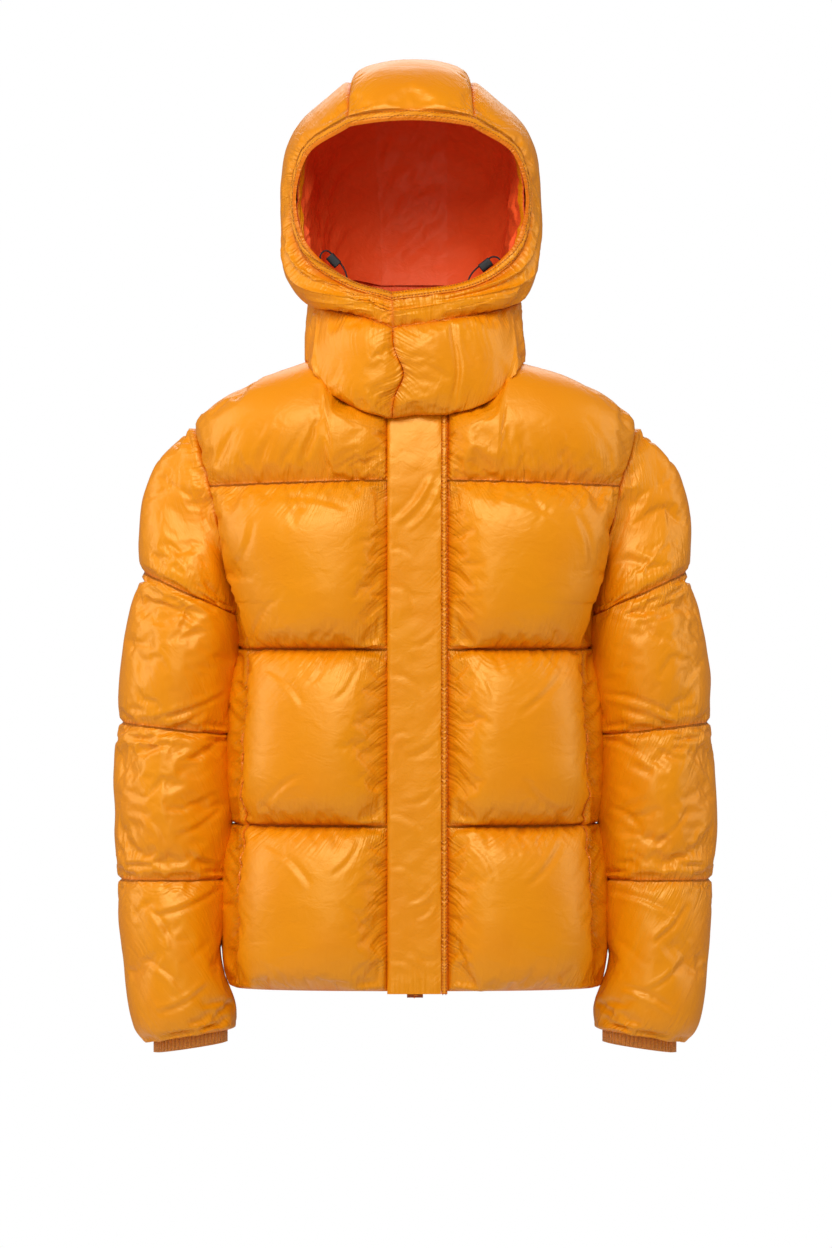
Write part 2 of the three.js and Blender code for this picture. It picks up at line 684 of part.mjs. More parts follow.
function cuff(side) {
  const outerCount = CUFF.ribs * 2;
  const innerCount = outerCount / CUFF.perInner;
  const { end } = SLEEVE;
  const ringOf = (count, inset, height) =>
    Array.from({ length: count }, (_, i) => {
      const around = (2 * PI * i) / count;
      const rib = count === outerCount && i % 2 ? CUFF.ribHeight : 0;
      const less = SHELL_IN + CUFF.clear + inset + rib;
      const x = (sleeveRing.across(end) - less) * power(cos(around), 2 / SLEEVE.power);
      const y = (sleeveRing.deep(end) - less) * power(sin(around), 2 / SLEEVE.power);
      return vec(side * (sleeveRing.x(end) + x), sleeveRing.y(end) - y, height + sleeveRing.lean(end) * x);
    });
  const inward = CUFF.ribHeight + CUFF.wall;
  const loops = [
    ringOf(innerCount, inward, CUFF.top),
    ringOf(outerCount, 0, CUFF.top),
    ringOf(outerCount, 0, CUFF.bottom + CUFF.turn),
    ringOf(innerCount, inward, CUFF.bottom),
  ];
  const starts = loops.map((_, i) => loops.slice(0, i).reduce((sum, loop) => sum + loop.length, 0));
  const triangles = [];
  const band = (upper, lower, ratio) => {
    const n = loops[upper].length;
    const at = (loop, i) => starts[loop] + (i % loops[loop].length);
    if (ratio === 1) {
      for (let i = 0; i < n; i += 1) {
        triangles.push([at(upper, i), at(upper, i + 1), at(lower, i + 1)]);
        triangles.push([at(upper, i), at(lower, i + 1), at(lower, i)]);
      }
      return;
    }
    const [few, many, turned] = ratio > 1 ? [upper, lower, false] : [lower, upper, true];
    const push = (a, b, c) => triangles.push(turned ? [a, c, b] : [a, b, c]);
    const group = CUFF.perInner;
    for (let i = 0; i < innerCount; i += 1) {
      push(at(few, i), at(few, i + 1), at(many, (i + 1) * group));
      for (let k = 0; k < group; k += 1) push(at(few, i), at(many, i * group + k + 1), at(many, i * group + k));
    }
  };
  band(0, 1, 2);
  band(1, 2, 1);
  band(2, 3, 0.5);
  band(3, 0, 1);
  return solidOf(loops.flat(), triangles);
}

add('cuff_right', cuff(-1), materials.knit);
add('cuff_left', cuff(1), materials.knit);

// Zip, wind flap and its band: strips laid on the fronts' pattern surface

function strip(from, to, columns, levels, lowest, highest) {
  const xs = Array.from({ length: columns + 1 }, (_, i) => lerp(from, to, i / columns));
  return levels.map((level) =>
    xs.map((x) => {
      const cell = bodyCell(x, level, -1);
      return { base: cell.base, normal: cell.normal, out: highest, in: -lowest };
    }),
  );
}

const frontLevels = levelsUpTo(topLevel(PLACKET.left, -1)).slice(0, -1);
const overFront = SHELL_OUT + SEAM_GAP;

// Lets a strip's lower end hang below the hem
function hang(cells, drop) {
  for (const cell of cells[0]) cell.base.z -= drop;
  return sheetWall(cells, { sewn: [] });
}

const zipEdge = ZIP_HALF - SEAM_GAP;
const zipCells = strip(-zipEdge, zipEdge, 2, frontLevels, -SHELL_IN, ZIP.thickness);
const flapCells = strip(PLACKET.right, PLACKET.left, 4, frontLevels, overFront, overFront + PLACKET.thickness);
const bandCells = strip(BAND.right, BAND.left, 1, frontLevels, overFront, overFront + BAND.thickness);
add('zip', hang(zipCells, ZIP.below), materials.nylon);
add('placket', hang(flapCells, PLACKET.below), materials.nylon);
add('placket_band', hang(bandCells, PLACKET.below), materials.nylon);

// Pocket welts on the fronts' outer faces, beside the side seams

function weltCells(side) {
  const cells = side < 0 ? fronts.right : fronts.left;
  const height = (row) => row[row.length - 1].base.z;
  const [low, high] = [WELT.bottom - WELT.nearRow, WELT.top + WELT.nearRow];
  const rows = cells.filter((row) => height(row) > low && height(row) < high);
  return rows.map((row) =>
    [WELT.from, WELT.to].map((share) => {
      const [a, b] = row.slice(-2);
      return {
        base: a.base.clone().lerp(b.base, share),
        normal: a.normal.clone().lerp(b.normal, share).normalize(),
        in: -(lerp(a.out, b.out, share) + SEAM_GAP),
        out: lerp(a.out, b.out, share) + SEAM_GAP + WELT.thickness,
      };
    }),
  );
}

add('pocket_welt_right', sheetWall(weltCells(-1), { sewn: [] }), materials.nylon);
add('pocket_welt_left', sheetWall(weltCells(1), { sewn: [] }), materials.nylon);

// The hood's neck: two halves that lap at the front and lie on the yoke below

const closureShift = (degrees, v) => {
  const fade = max(0, 1 - degrees / CLOSURE.fade) ** 2;
  return (CLOSURE.across + CLOSURE.wave * exp(-(((v - CLOSURE.waveAt) / CLOSURE.waveHalf) ** 2))) * fade;
};

function neckSeamPoint(degrees) {
  const a = rad(degrees);
  const deep = degrees < 90 ? NECK_SEAM.front : NECK_SEAM.back;
  return vec(
    NECK_SEAM.across * power(sin(a), NECK_SEAM.bend),
    -deep * power(cos(a), NECK_SEAM.bend),
    NECK_SEAM.low + NECK_SEAM.rise * sin(a / 2) ** NECK_SEAM.risePower,
  );
}

const neckSeamNormal = (degrees) => vec(sin(rad(degrees)), -cos(rad(degrees)), 0);

// Where the neck piece's lower edge lies on the body
function neckFoot(degrees, side) {
  const a = rad(degrees);
  const face = degrees <= 90 ? -1 : 1;
  const low = face < 0 ? NECK_FOOT.front : NECK_FOOT.back;
  const x = NECK_FOOT.half * sin(a) ** (2 / NECK.power) + side * closureShift(degrees, 0);
  const rise = 1 - (1 - low) * abs(cos(a)) ** (2 / NECK.power);
  const level = levelOfHeight(lerp(CHEST, APEX, rise));
  const cell = bodyCell(side * x, level, face);
  const overFlap = face < 0 ? 1 - smoothstep(OVER_FLAP.full, OVER_FLAP.none, abs(x)) : 0;
  const lift = cell.out + NECK_FOOT.clear + OVER_FLAP.lift * overFlap;
  return { point: cell.base.addScaledVector(cell.normal, lift), normal: cell.normal };
}

const hoodAround = curveOf(HOOD_LINES, 'u', 'around');
const HOOD_U = [0, 0.12, 0.26, 0.42, 0.58, 0.72, 0.84, 0.93, 1];
const HOOD_ACROSS = [-1, -0.7, -0.25, 0.25, 0.7, 1];
const centreAround = (w) => 180 - abs(w) * (180 - hoodAround(1));
const NECK_COLUMNS = [...HOOD_U.map(hoodAround), centreAround(0.7), centreAround(0.25), 180];
const NECK_ROWS = [0, 0.1, 0.32, 0.56, 0.8, 0.94, 1];

function neckPoint(degrees, v, side) {
  const foot = neckFoot(degrees, side).point;
  const top = neckSeamPoint(degrees);
  top.x = side * (top.x + side * closureShift(degrees, 1));
  const point = foot.clone().lerp(top, v);
  point.x += closureShift(degrees, v) - closureShift(degrees, 0);
  return point;
}

function neckCells(side) {
  return NECK_ROWS.map((v) =>
    NECK_COLUMNS.map((degrees, c) => {
      const tilt = v < 1 ? NECK_LAP.tilt * (1 - v) : 0;
      const normal = flip(neckSeamNormal(degrees), side).add(vec(0, 0, -tilt)).normalize();
      const across = c / (NECK_COLUMNS.length - 1);
      const lapRise = sin(PI * clamp(v, NECK_LAP.from, NECK_LAP.to)) ** NECK_LAP.fullness;
      const lap = side > 0 ? max(0, 1 - c / NECK_LAP.columns) * NECK_LAP.thickness * lapRise : 0;
      const deep = lerp(NECK_PUFF.side, NECK_PUFF.front, cos(rad(degrees)) ** 2);
      const puff = deep * dome(v) * dome(0.02 + 0.98 * across, 6, 2);
      return { base: neckPoint(degrees, v, side), normal, out: SHELL_OUT + puff + lap, in: SHELL_IN };
    }),
  );
}

add('neck_right', sheetWall(neckCells(-1), { sewn: ['high', 'first', 'last'] }), materials.nylon);
add('neck_left', sheetWall(neckCells(1), { sewn: ['high', 'first', 'last'] }), materials.nylon);

// Stand collar: from the neckline up inside the hood's neck

function collarCells() {
  const last = (cells) => cells[cells.length - 1];
  const onNeck = (cell) => abs(cell.base.x) < NECK.half + 1;
  const left = last(fronts.left).filter(onNeck);
  const right = last(fronts.right).filter(onNeck).reverse();
  const back = last(backCells).filter(onNeck).reverse().slice(1, -1);
  const foot = [...left, ...back, ...right];
  return [0, 0.35, 0.7, 1].map((v) =>
    foot.map((cell) => {
      const side = cell.base.x < 0 ? -1 : 1;
      const neck = atan2(abs(cell.base.x), -cell.base.y) / rad(1);
      const top = neckPoint(neck, COLLAR.top, side);
      const inward = flip(neckSeamNormal(neck), side).negate();
      top.addScaledVector(inward, SHELL_IN + COLLAR.clear + COLLAR.thickness);
      if (cell === left[0]) top.x = ZIP_HALF;
      if (cell === right[right.length - 1]) top.x = -ZIP_HALF;
      const start = cell.base.clone().add(vec(0, 0, COLLAR.foot)).addScaledVector(inward, COLLAR.footInside);
      return { base: start.lerp(top, v), normal: inward.clone().negate(), out: COLLAR.thickness, in: 0 };
    }),
  );
}

add('collar', sheetWall(collarCells(), { sewn: [] }), materials.nylon);

// Hood: side panels from the neck seam to the edge, and a centre panel from nape to brow

const hoodMiddle = vec(...HOOD.middle);
const HOOD_V = [0, 0.2, 0.42, 0.64, 0.84, 1];

const hoodLine = HOOD_LINES.map((line) => {
  const foot = neckSeamPoint(line.around);
  return pathOf(HOOD_V, [foot, ...['low', 'mid', 'high', 'top', 'rim'].map((name) => vec(...line[name]))]);
});

function hoodSidePoint(u, v, side) {
  const atU = HOOD_LINES.map((line) => line.u);
  const point = pathOf(atU, hoodLine.map((line) => line(v)))(u);
  const foot = pathOf(atU, hoodLine.map((line) => line(0)))(u);
  point.addScaledVector(neckSeamPoint(hoodAround(u)).sub(foot), (1 - v) ** 3);
  const leaning = HOOD.lean * smoothstep(0, 0.5, v) * smoothstep(HOOD.leanFrom, HOOD.leanTo, point.z);
  point.x = side * point.x + closureShift(hoodAround(u), 1) - leaning;
  return point;
}

function outwardNormal(along, across, point) {
  const normal = along.cross(across).normalize();
  return normal.dot(point.clone().sub(hoodMiddle)) < 0 ? normal.negate() : normal;
}

function hoodSideNormal(u, v, side) {
  const step = 0.01;
  if (v === 0) return flip(neckSeamNormal(hoodAround(u)), side);
  if (u === 0) return vec(0, -1, 0);
  const [u1, u2, v1, v2] = [max(0, u - step), min(1, u + step), max(0, v - step), min(1, v + step)];
  const along = hoodSidePoint(u, v2, side).sub(hoodSidePoint(u, v1, side));
  const across = hoodSidePoint(u2, v, side).sub(hoodSidePoint(u1, v, side));
  const normal = outwardNormal(along, across, hoodSidePoint(u, v, side));
  const seamNormal = flip(neckSeamNormal(hoodAround(u)), side);
  return seamNormal.lerp(normal, smoothstep(0, 0.2, v)).normalize();
}

const HOOD_ROWS = [0, 0.05, 0.16, 0.32, 0.48, 0.64, HOOD.bandAt, 0.92, 1];

function hoodSidePuff(u, v) {
  const height = clamp(u / HOOD.lowUpTo, HOOD.lowShare, 1);
  const nearBand = exp(-(((v - HOOD.bandAt) / HOOD.bandHalf) ** 2));
  const valley = HOOD.bandDepth * nearBand * (1 - smoothstep(...HOOD.bandFade, u));
  return HOOD.puff * height * dome(v) * dome(0.06 + 0.94 * u, 3.2, 1.8) * (1 - valley);
}

function hoodSideCells(side) {
  return HOOD_ROWS.map((v) =>
    HOOD_U.map((u) => ({
      base: hoodSidePoint(u, v, side),
      normal: hoodSideNormal(u, v, side),
      out: SHELL_OUT + hoodSidePuff(u, v),
      in: SHELL_IN,
    })),
  );
}

add('hood_side_right', sheetWall(hoodSideCells(-1)), materials.nylon);
add('hood_side_left', sheetWall(hoodSideCells(1)), materials.nylon);

function hoodCentreCell(w, v) {
  const right = hoodSidePoint(1, v, -1);
  const left = hoodSidePoint(1, v, 1);
  const base = right.clone().lerp(left, (w + 1) / 2);
  const seamNormal = hoodSideNormal(1, v, w < 0 ? -1 : 1);
  const middleNormal = vec(0, seamNormal.y, seamNormal.z).normalize();
  const normal = middleNormal.clone().lerp(seamNormal, abs(w) ** 1.5).normalize();
  base.addScaledVector(middleNormal, HOOD.centreArch * (1 - w * w) * min(1, 4 * v));
  base.lerp(flip(neckSeamPoint(centreAround(w)), w < 0 ? -1 : 1), max(0, 1 - 10 * v));
  const puff = HOOD.centrePuff * dome(v, 6, 2) * dome((w + 1) / 2, 3, 2);
  return { base, normal, out: SHELL_OUT + puff, in: SHELL_IN };
}

const centreCells = HOOD_ROWS.map((v) => HOOD_ACROSS.map((w) => hoodCentreCell(w, v)));
add('hood_centre', sheetWall(centreCells), materials.nylon);

// One line right round the hood at height v: left closure, over the centre panel, right closure
function hoodRound(v, us, ws) {
  const left = us.map((u) => ({ base: hoodSidePoint(u, v, 1), normal: hoodSideNormal(u, v, 1) }));
  const right = us.map((u) => ({ base: hoodSidePoint(u, v, -1), normal: hoodSideNormal(u, v, -1) }));
  const over = ws.map((w) => hoodCentreCell(w, v));
  return [...left, ...over.reverse(), ...right.reverse()];
}

// The stitched edge that holds the elastic, turned in from the panels' front edges
function rimCells() {
  const inner = [...HOOD_U];
  const acrossInside = HOOD_ACROSS.slice(1, -1);
  const edge = hoodRound(1, inner, acrossInside);
  const behind = hoodRound(RIM.behind, inner, acrossInside);
  return [0, 0.5, 1].map((t) =>
    edge.map((cell, i) => {
      const onward = cell.base.clone().sub(behind[i].base);
      onward.addScaledVector(cell.normal, -onward.dot(cell.normal)).normalize();
      const base = cell.base.clone().addScaledVector(onward, SEAM_GAP / 2 + RIM.width * t);
      base.addScaledVector(cell.normal, -RIM.curl * t * t);
      const swell = RIM.thickness * dome(0.1 + 0.8 * t) - 1;
      return { base, normal: cell.normal.clone(), out: SHELL_OUT + max(0, swell), in: SHELL_IN };
    }),
  );
}

const rim = rimCells();
add('hood_rim', sheetWall(rim, { sewn: ['first', 'last'] }), materials.nylon);

// Loose lining inside the hood, held at the neck seam and at the stitched edge
const LINING_U = [0.07, 0.16, 0.3, 0.44, 0.58, 0.72, 0.84, 0.95];
const LINING_ACROSS = [-0.8, 0, 0.8];
const LINING_ROWS = [0.05, 0.14, 0.3, 0.46, 0.62, 0.78, 0.9, 0.97];

function liningCells() {
  return LINING_ROWS.map((v) => {
    const line = hoodRound(v, LINING_U, LINING_ACROSS);
    return line.map((cell, i) => {
      const share = i / (line.length - 1);
      const room = clamp(min(share, 1 - share) * 8, 0.1, 1);
      const fold = LINING.fold * sin(LINING.folds * 2 * PI * share + 5 * v);
      const depth = SHELL_IN + SEAM_GAP + (LINING.slack + fold) * dome(v, 4, 2) * room;
      return { base: cell.base, normal: cell.normal, out: -depth, in: depth + LINING.thickness };
    });
  });
}

add('hood_lining', sheetWall(liningCells(), { sewn: [] }), materials.lining);

// Cord locks and cord ends, just inside the hood's edge

const outlineOf = (points) => new THREE.Shape(points.map(([x, y]) => new THREE.Vector2(x, y)));

function circlePoints(radius, count, x = 0, y = 0) {
  return Array.from({ length: count }, (_, i) => {
    const turn = ((i + 0.5) * 2 * PI) / count;
    return [x + radius * cos(turn), y + radius * sin(turn)];
  });
}

// A block with rounded corners round its bore, run from one end of the bore to the other
function cordLock({ side, lockFrom, lockTo }) {
  const along = vec(...lockTo).sub(vec(...lockFrom)).normalize();
  const across = vec(-along.z, 0, along.x).multiplyScalar(side);
  const deep = along.clone().cross(across);
  const middle = vec(...lockFrom).add(vec(...lockTo)).multiplyScalar(0.5);
  const start = middle.addScaledVector(along, -LOCK.length / 2);
  const [x, y, r] = [LOCK.width / 2, LOCK.depth / 2, LOCK.corner];
  const quarter = (cx, cy, from) =>
    [0, 0.25, 0.5, 0.75, 1].map((t) => {
      const turn = from + (t * PI) / 2;
      return [cx + r * cos(turn) + LOCK.boreOff, cy + r * sin(turn)];
    });
  const outline = outlineOf([
    ...quarter(x - r, y - r, 0),
    ...quarter(r - x, y - r, PI / 2),
    ...quarter(r - x, r - y, PI),
    ...quarter(x - r, r - y, 1.5 * PI),
  ]);
  outline.holes.push(outlineOf(circlePoints(LOCK.bore / 2, 16)));
  const geometry = new THREE.ExtrudeGeometry(outline, { depth: LOCK.length, bevelEnabled: false });
  const frame = new THREE.Matrix4().makeBasis(across, deep, along);
  return geometry.applyMatrix4(frame.setPosition(start));
}

function cordTube({ route }) {
  const path = new THREE.CatmullRomCurve3(route.map((point) => vec(...point)));
  const steps = Math.round(path.getLength() / (CORD.diameter * CORD.step));
  const section = outlineOf(circlePoints(CORD.diameter / 2, CORD.sides));
  return new THREE.ExtrudeGeometry(section, { steps, extrudePath: path, bevelEnabled: false });
}

for (const end of CORD_ENDS) {
  add(`cord_lock_${end.name}`, cordLock(end), materials.black);
  add(`cord_${end.name}`, cordTube(end), materials.black);
}

export default jacket;
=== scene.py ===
"""An orange hooded puffer jacket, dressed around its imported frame. +X is the wearer's left, the front
faces -Y and +Z is up. Sizes in the tables are millimetres; meshes are metres."""

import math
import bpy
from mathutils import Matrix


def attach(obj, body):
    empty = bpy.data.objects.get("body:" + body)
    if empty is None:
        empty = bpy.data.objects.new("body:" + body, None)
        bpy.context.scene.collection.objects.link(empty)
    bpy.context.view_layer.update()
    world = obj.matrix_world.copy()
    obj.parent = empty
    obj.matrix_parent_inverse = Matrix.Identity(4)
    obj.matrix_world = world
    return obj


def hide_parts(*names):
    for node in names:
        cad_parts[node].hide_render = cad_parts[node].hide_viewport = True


bl_info = {
    "name": "Puffer Jacket",
    "version": (1, 0, 0),
    "blender": (4, 5, 0),
    "location": "View3D > Sidebar > Jacket",
    "description": "Builds a quilted, hooded down jacket with its zip, flap, cuffs, cords and studio",
    "category": "Object",
}

import bpy
import numpy as np
from bpy.props import FloatProperty, FloatVectorProperty, IntProperty, PointerProperty
from mathutils import Vector

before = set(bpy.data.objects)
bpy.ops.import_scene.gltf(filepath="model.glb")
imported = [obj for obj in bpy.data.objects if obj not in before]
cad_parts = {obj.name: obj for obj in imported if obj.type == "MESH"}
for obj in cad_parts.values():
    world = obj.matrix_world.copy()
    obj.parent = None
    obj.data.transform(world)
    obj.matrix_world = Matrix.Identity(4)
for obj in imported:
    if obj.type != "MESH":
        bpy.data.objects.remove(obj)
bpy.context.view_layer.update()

MM = 0.001

# Sizes of the pattern, as in the solids

SEAM_GAP, SHELL_OUT, SHELL_IN = 0.3, 1.8, 1.0
HEM, CHEST, ARMPIT, SIDE_TOP, APEX = -645, -150, -220, -195, 76
SHOULDER_SLOPE, PLAN_POWER, SHOULDER_POWER = 0.46, 2.5, 2.3
WAIST_QUILT, CHEST_QUILT, YOKE_QUILT = -465, -273, -89

WIDTHS = [
    (-645, 196), (-465, 194), (-273, 189), (-220, 192), (-205, 197.5), (-181, 206),
    (-143, 226), (-93, 238), (-58, 242), (8, 244), (76, 244),
]
DEPTHS = [(-645, 118, 115), (-465, 122, 112), (-273, 125, 118), (-150, 126, 122), (76, 126, 122)]
EDGES = [
    (-645, 189), (-465, 185.5), (-273, 179.5), (-225, 187), (-195, 197.3), (-181, 201),
    (-143, 212), (-93, 222), (-58, 229), (8, 236), (76, 240),
]
NECK_HALF, NECK_POWER, NECK_FRONT, NECK_BACK = 95, 2.2, 0.664, 0.84
FRONT_PUFF, FRONT_YOKE_PUFF, BACK_PUFF, BACK_YOKE_PUFF = 38, 30, 35, 26
SIDE_PUFF, SIDE_HEM_PUFF, SIDE_TOP_PUFF = 10, 12, 2
YOKE_FLAT, RIDGE = 0.6, 0.18
DROOP = 0.8  # under 1 the filling hangs low in each baffle
SEAM_PUFF = 5  # what is left of the padding at a quilting seam
SIM_FRAMES = 18
ZIP_HALF = 9
PLACKET_RIGHT, PLACKET_LEFT, PLACKET_THICK = -30, 28, 3.2
BAND_RIGHT, BAND_LEFT, BAND_THICK = 28.3, 35, 3.8
PUFF_START = {-1: 30.5, 1: 36}
WELT_THICK, WELT_TOP, WELT_BOTTOM = 2, -369, -537

SLEEVE_RINGS = [
    # seam, z, x, across, y, deep, lean
    (1, -214, 245, 48, 0, 60, 0.5),
    (1.5, -285, 254.5, 52.5, 1, 60, 0.22),
    (2, -361, 262, 54.5, 2, 57, 0.12),
    (2.5, -443, 263.5, 54.5, 1, 56, 0.04),
    (3, -526, 265.5, 52.5, -2, 53, 0),
    (3.5, -610, 262, 47.5, -6, 51, -0.08),
    (3.85, -672, 253, 50, -10, 50, -0.14),
    (4, -697, 246.5, 43, -12, 43, -0.15),
]
SLEEVE_POWER, SLEEVE_FACE, SLEEVE_OUTER, SLEEVE_INNER, SLEEVE_CAP = 2.2, 14, 6, 2.3, 11
SLEEVE_END = 4.0
SLEEVE_LENGTHS = (170, 150, 165, 172)
ARMHOLE_LOW, ARMHOLE_OVER, ARMHOLE_MIDDLE, ARMHOLE_EVENLY = -150, 70, -125, 0.6
CAP_TURN, CAP_OUTWARDS, CAP_LAST, CAP_FIRST_REACH, CAP_MORE, CAP_LAST_REACH = 0.4, 0.5, 1.15, 0.4, 2, 0.35
CAP_FULL, CAP_FOLDED = 120, 0.6  # length that has its whole puff, and what the fold under the arm takes off
CUFF_CLEAR, CUFF_TOP, CUFF_BOTTOM, CUFF_WALL, CUFF_RIB = 1.45, -684, -711, 1.6, 1.4

SEAM_ACROSS, SEAM_FRONT, SEAM_BACK, SEAM_LOW, SEAM_RISE = 114, 130, 97, 75, 46
SEAM_BEND, SEAM_RISE_POWER = 0.95, 0.9
NECK_PUFF_FRONT, NECK_PUFF_SIDE = 20, 3.5
FOOT_HALF, FOOT_FRONT, FOOT_BACK, FOOT_CLEAR = 108, 0.566, 0.73, 2.4
FOOT_OVER, FOOT_FULL, FOOT_NONE = 4.6, 36, 54  # how the foot rides up over the flap
LAP_ACROSS, LAP_WAVE, LAP_AT, LAP_HALF, LAP_FADE = -24, 12, 0.5, 0.2, 42
LAP_THICK, LAP_COLUMNS, LAP_FROM, LAP_TO, LAP_FULLNESS, NECK_TILT = 3.2, 2, 0.06, 0.94, 0.3, 0.25
COLLAR_THICK, COLLAR_TOP, COLLAR_CLEAR, COLLAR_FOOT, COLLAR_INSIDE = 2.5, 0.9, 2.9, 1.3, 3

HOOD_LINES = [
    # u, foot angle, then the line's points: low, mid, high, top, rim
    (0, 0, (0, -132, 81), (0, -134, 88), (0, -135, 94), (0, -135, 99), (0, -134, 104)),
    (0.25, 30, (64, -115, 98), (69, -116, 105), (71, -116, 111), (71, -116, 116), (70, -115, 120)),
    (0.5, 62, (104, -63, 115), (109, -72, 129), (113, -81, 142), (115, -88, 151), (116, -93, 158)),
    (0.72, 98, (110, 4, 145), (115, -16, 172), (120, -40, 193), (125, -64, 207), (128, -84, 216)),
    (0.88, 130, (98, 68, 170), (112, 50, 232), (114, 8, 276), (115, -48, 284), (114, -98, 271)),
    (1, 156, (54, 112, 195), (60, 92, 296), (63, 20, 345), (65, -58, 337), (68, -116, 302)),
]
HOOD_V = [0, 0.2, 0.42, 0.64, 0.84, 1]
HOOD_PUFF, HOOD_LEAN, HOOD_CENTRE_PUFF, HOOD_ARCH, HOOD_BAND, HOOD_BAND_DEPTH = 20, 4.5, 15, 8, 0.8, 0.45
HOOD_BAND_HALF, HOOD_LOW, HOOD_LOW_SHARE, HOOD_LEAN_FROM, HOOD_LEAN_TO = 0.06, 0.45, 0.22, 85, 150
HOOD_MIDDLE = np.array([0, -15, 215.0])
RIM_WIDTH, RIM_CURL, RIM_THICK = 10, 3.5, 2.6
LINING_THICK, LINING_SLACK = 1.2, 7

CORD_DIAMETER = 1.9
CORD_ROUTES = {
    "right": [
        (-102.9, -99.2, 151.2), (-103, -97.2, 153.9), (-101.8, -95.2, 156.9), (-99.2, -93.8, 159.2),
        (-96, -92.9, 159.9), (-93.2, -92.3, 158.7), (-91.4, -92, 157), (-88.8, -92, 154.2),
        (-86.2, -92, 151.5), (-83.5, -92, 148.6), (-80.9, -92, 145.8), (-78.6, -92.2, 142.6),
        (-76.6, -92.8, 138.9), (-75.1, -93.8, 134.9), (-74.2, -95.2, 130.8), (-73.7, -97, 126.4),
        (-73.6, -99.8, 121.2), (-73.7, -103.2, 116.1),
    ],
    "left": [
        (92.35, -99.6, 150.15), (90.4, -97.5, 151.9), (88, -95.5, 153), (85.4, -93.8, 153.4),
        (83, -92.6, 152.9), (80.8, -92.1, 151.5), (78, -92, 149.3), (75, -92, 147),
        (72, -92, 144.7), (69, -92, 142.4), (66, -92.3, 139.8), (63, -93, 136.6),
        (60.5, -94, 133), (58.6, -95.6, 129), (57.3, -97.6, 124.9), (56.6, -99.8, 120.9),
        (56.3, -102.6, 116.6), (56.1, -105.4, 112.6), (56, -108, 108.8),
    ],
}
LOCK_ENDS = {
    "right": ((-91.7, -92, 157.4), (-80.7, -92, 145.6)),
    "left": ((81.2, -92, 151.8), (68.8, -92, 142.2)),
}
LOCK_LENGTH, LOCK_WIDTH, LOCK_DEPTH, LOCK_BORE, LOCK_BORE_OFF = 14, 10.5, 8, 2.9, 3.2

GRID = 5.0  # side of a cell of the simulated cloth
INNER_STEP = 4  # outer cells for each cell of the plain inside

# Curves


def smoothstep(low, high, value):
    """0 below low and 1 above high; low may be the greater one."""
    t = np.clip((value - low) / (high - low), 0, 1)
    return t * t * (3 - 2 * t)


def power(value, exponent):
    return np.sign(value) * np.abs(value) ** exponent


def lerp(a, b, t):
    return a + (b - a) * t


def unit(v):
    return v / np.maximum(np.linalg.norm(v, axis=-1, keepdims=True), 1e-9)


def spline(at, values, where):
    """A smooth curve through values (one row for each entry of at), read at each entry of where."""
    at, values = np.asarray(at, float), np.asarray(values, float)
    where = np.clip(np.asarray(where, float), at[0], at[-1])
    last = len(at) - 1
    before = np.maximum(np.arange(len(at)) - 1, 0)
    after = np.minimum(np.arange(len(at)) + 1, last)
    wide = (slice(None),) + (None,) * (values.ndim - 1)
    slope = (values[after] - values[before]) / (at[after] - at[before])[wide]
    i = np.clip(np.searchsorted(at, where, side="left") - 1, 0, last - 1)
    span = at[i + 1] - at[i]
    t = ((where - at[i]) / span).reshape(where.shape + (1,) * (values.ndim - 1))
    span = span.reshape(t.shape)
    t2, t3 = t * t, t * t * t
    return (
        (2 * t3 - 3 * t2 + 1) * values[i]
        + (t3 - 2 * t2 + t) * span * slope[i]
        + (3 * t2 - 2 * t3) * values[i + 1]
        + (t3 - t2) * span * slope[i + 1]
    )


def column(table, which):
    at = [row[0] for row in table]
    values = [row[which] for row in table]
    return lambda where: spline(at, values, where)


def dome(t, fullness=2.4, steepness=1.7):
    return (1 - np.minimum(1, np.abs(2 * t - 1)) ** fullness) ** (1 / steepness)


NOISE_TABLES = {seed: np.random.default_rng(seed).random((64, 64)) * 2 - 1 for seed in range(12)}


def ripple(x, y, seed):
    """Smooth noise from -1 to 1, one bump for each unit of x and of y."""
    table = NOISE_TABLES[seed % 12]
    xi, yi = np.floor(x).astype(int), np.floor(y).astype(int)
    fx, fy = x - xi, y - yi
    fx, fy = fx * fx * (3 - 2 * fx), fy * fy * (3 - 2 * fy)
    a, b = table[xi % 64, yi % 64], table[(xi + 1) % 64, yi % 64]
    c, d = table[xi % 64, (yi + 1) % 64], table[(xi + 1) % 64, (yi + 1) % 64]
    return lerp(lerp(a, b, fx), lerp(c, d, fx), fy)


# The body's surface

body_width = column(WIDTHS, 1)
body_front = column(DEPTHS, 1)
body_back = column(DEPTHS, 2)
body_edge = column(EDGES, 1)


def level_of_height(height):
    height = np.asarray(height, float)
    rise = np.clip((height - CHEST) / (APEX - CHEST), 0, 1)
    above = 1 + np.arcsin(rise ** (SHOULDER_POWER / 2)) / (math.pi / 2)
    return np.where(height <= CHEST, (height - HEM) / (CHEST - HEM), above)


def ring(level):
    level = np.asarray(level, float)
    turn = np.clip(level - 1, 0, 1) * (math.pi / 2)
    rise = np.sin(turn) ** (2 / SHOULDER_POWER)
    closing = np.maximum(0, np.cos(turn)) ** (2 / SHOULDER_POWER)
    low = level <= 1
    height = np.where(low, lerp(HEM, CHEST, level), lerp(CHEST, APEX, rise))
    return height, np.where(low, 1, closing), np.where(low, 0, rise)


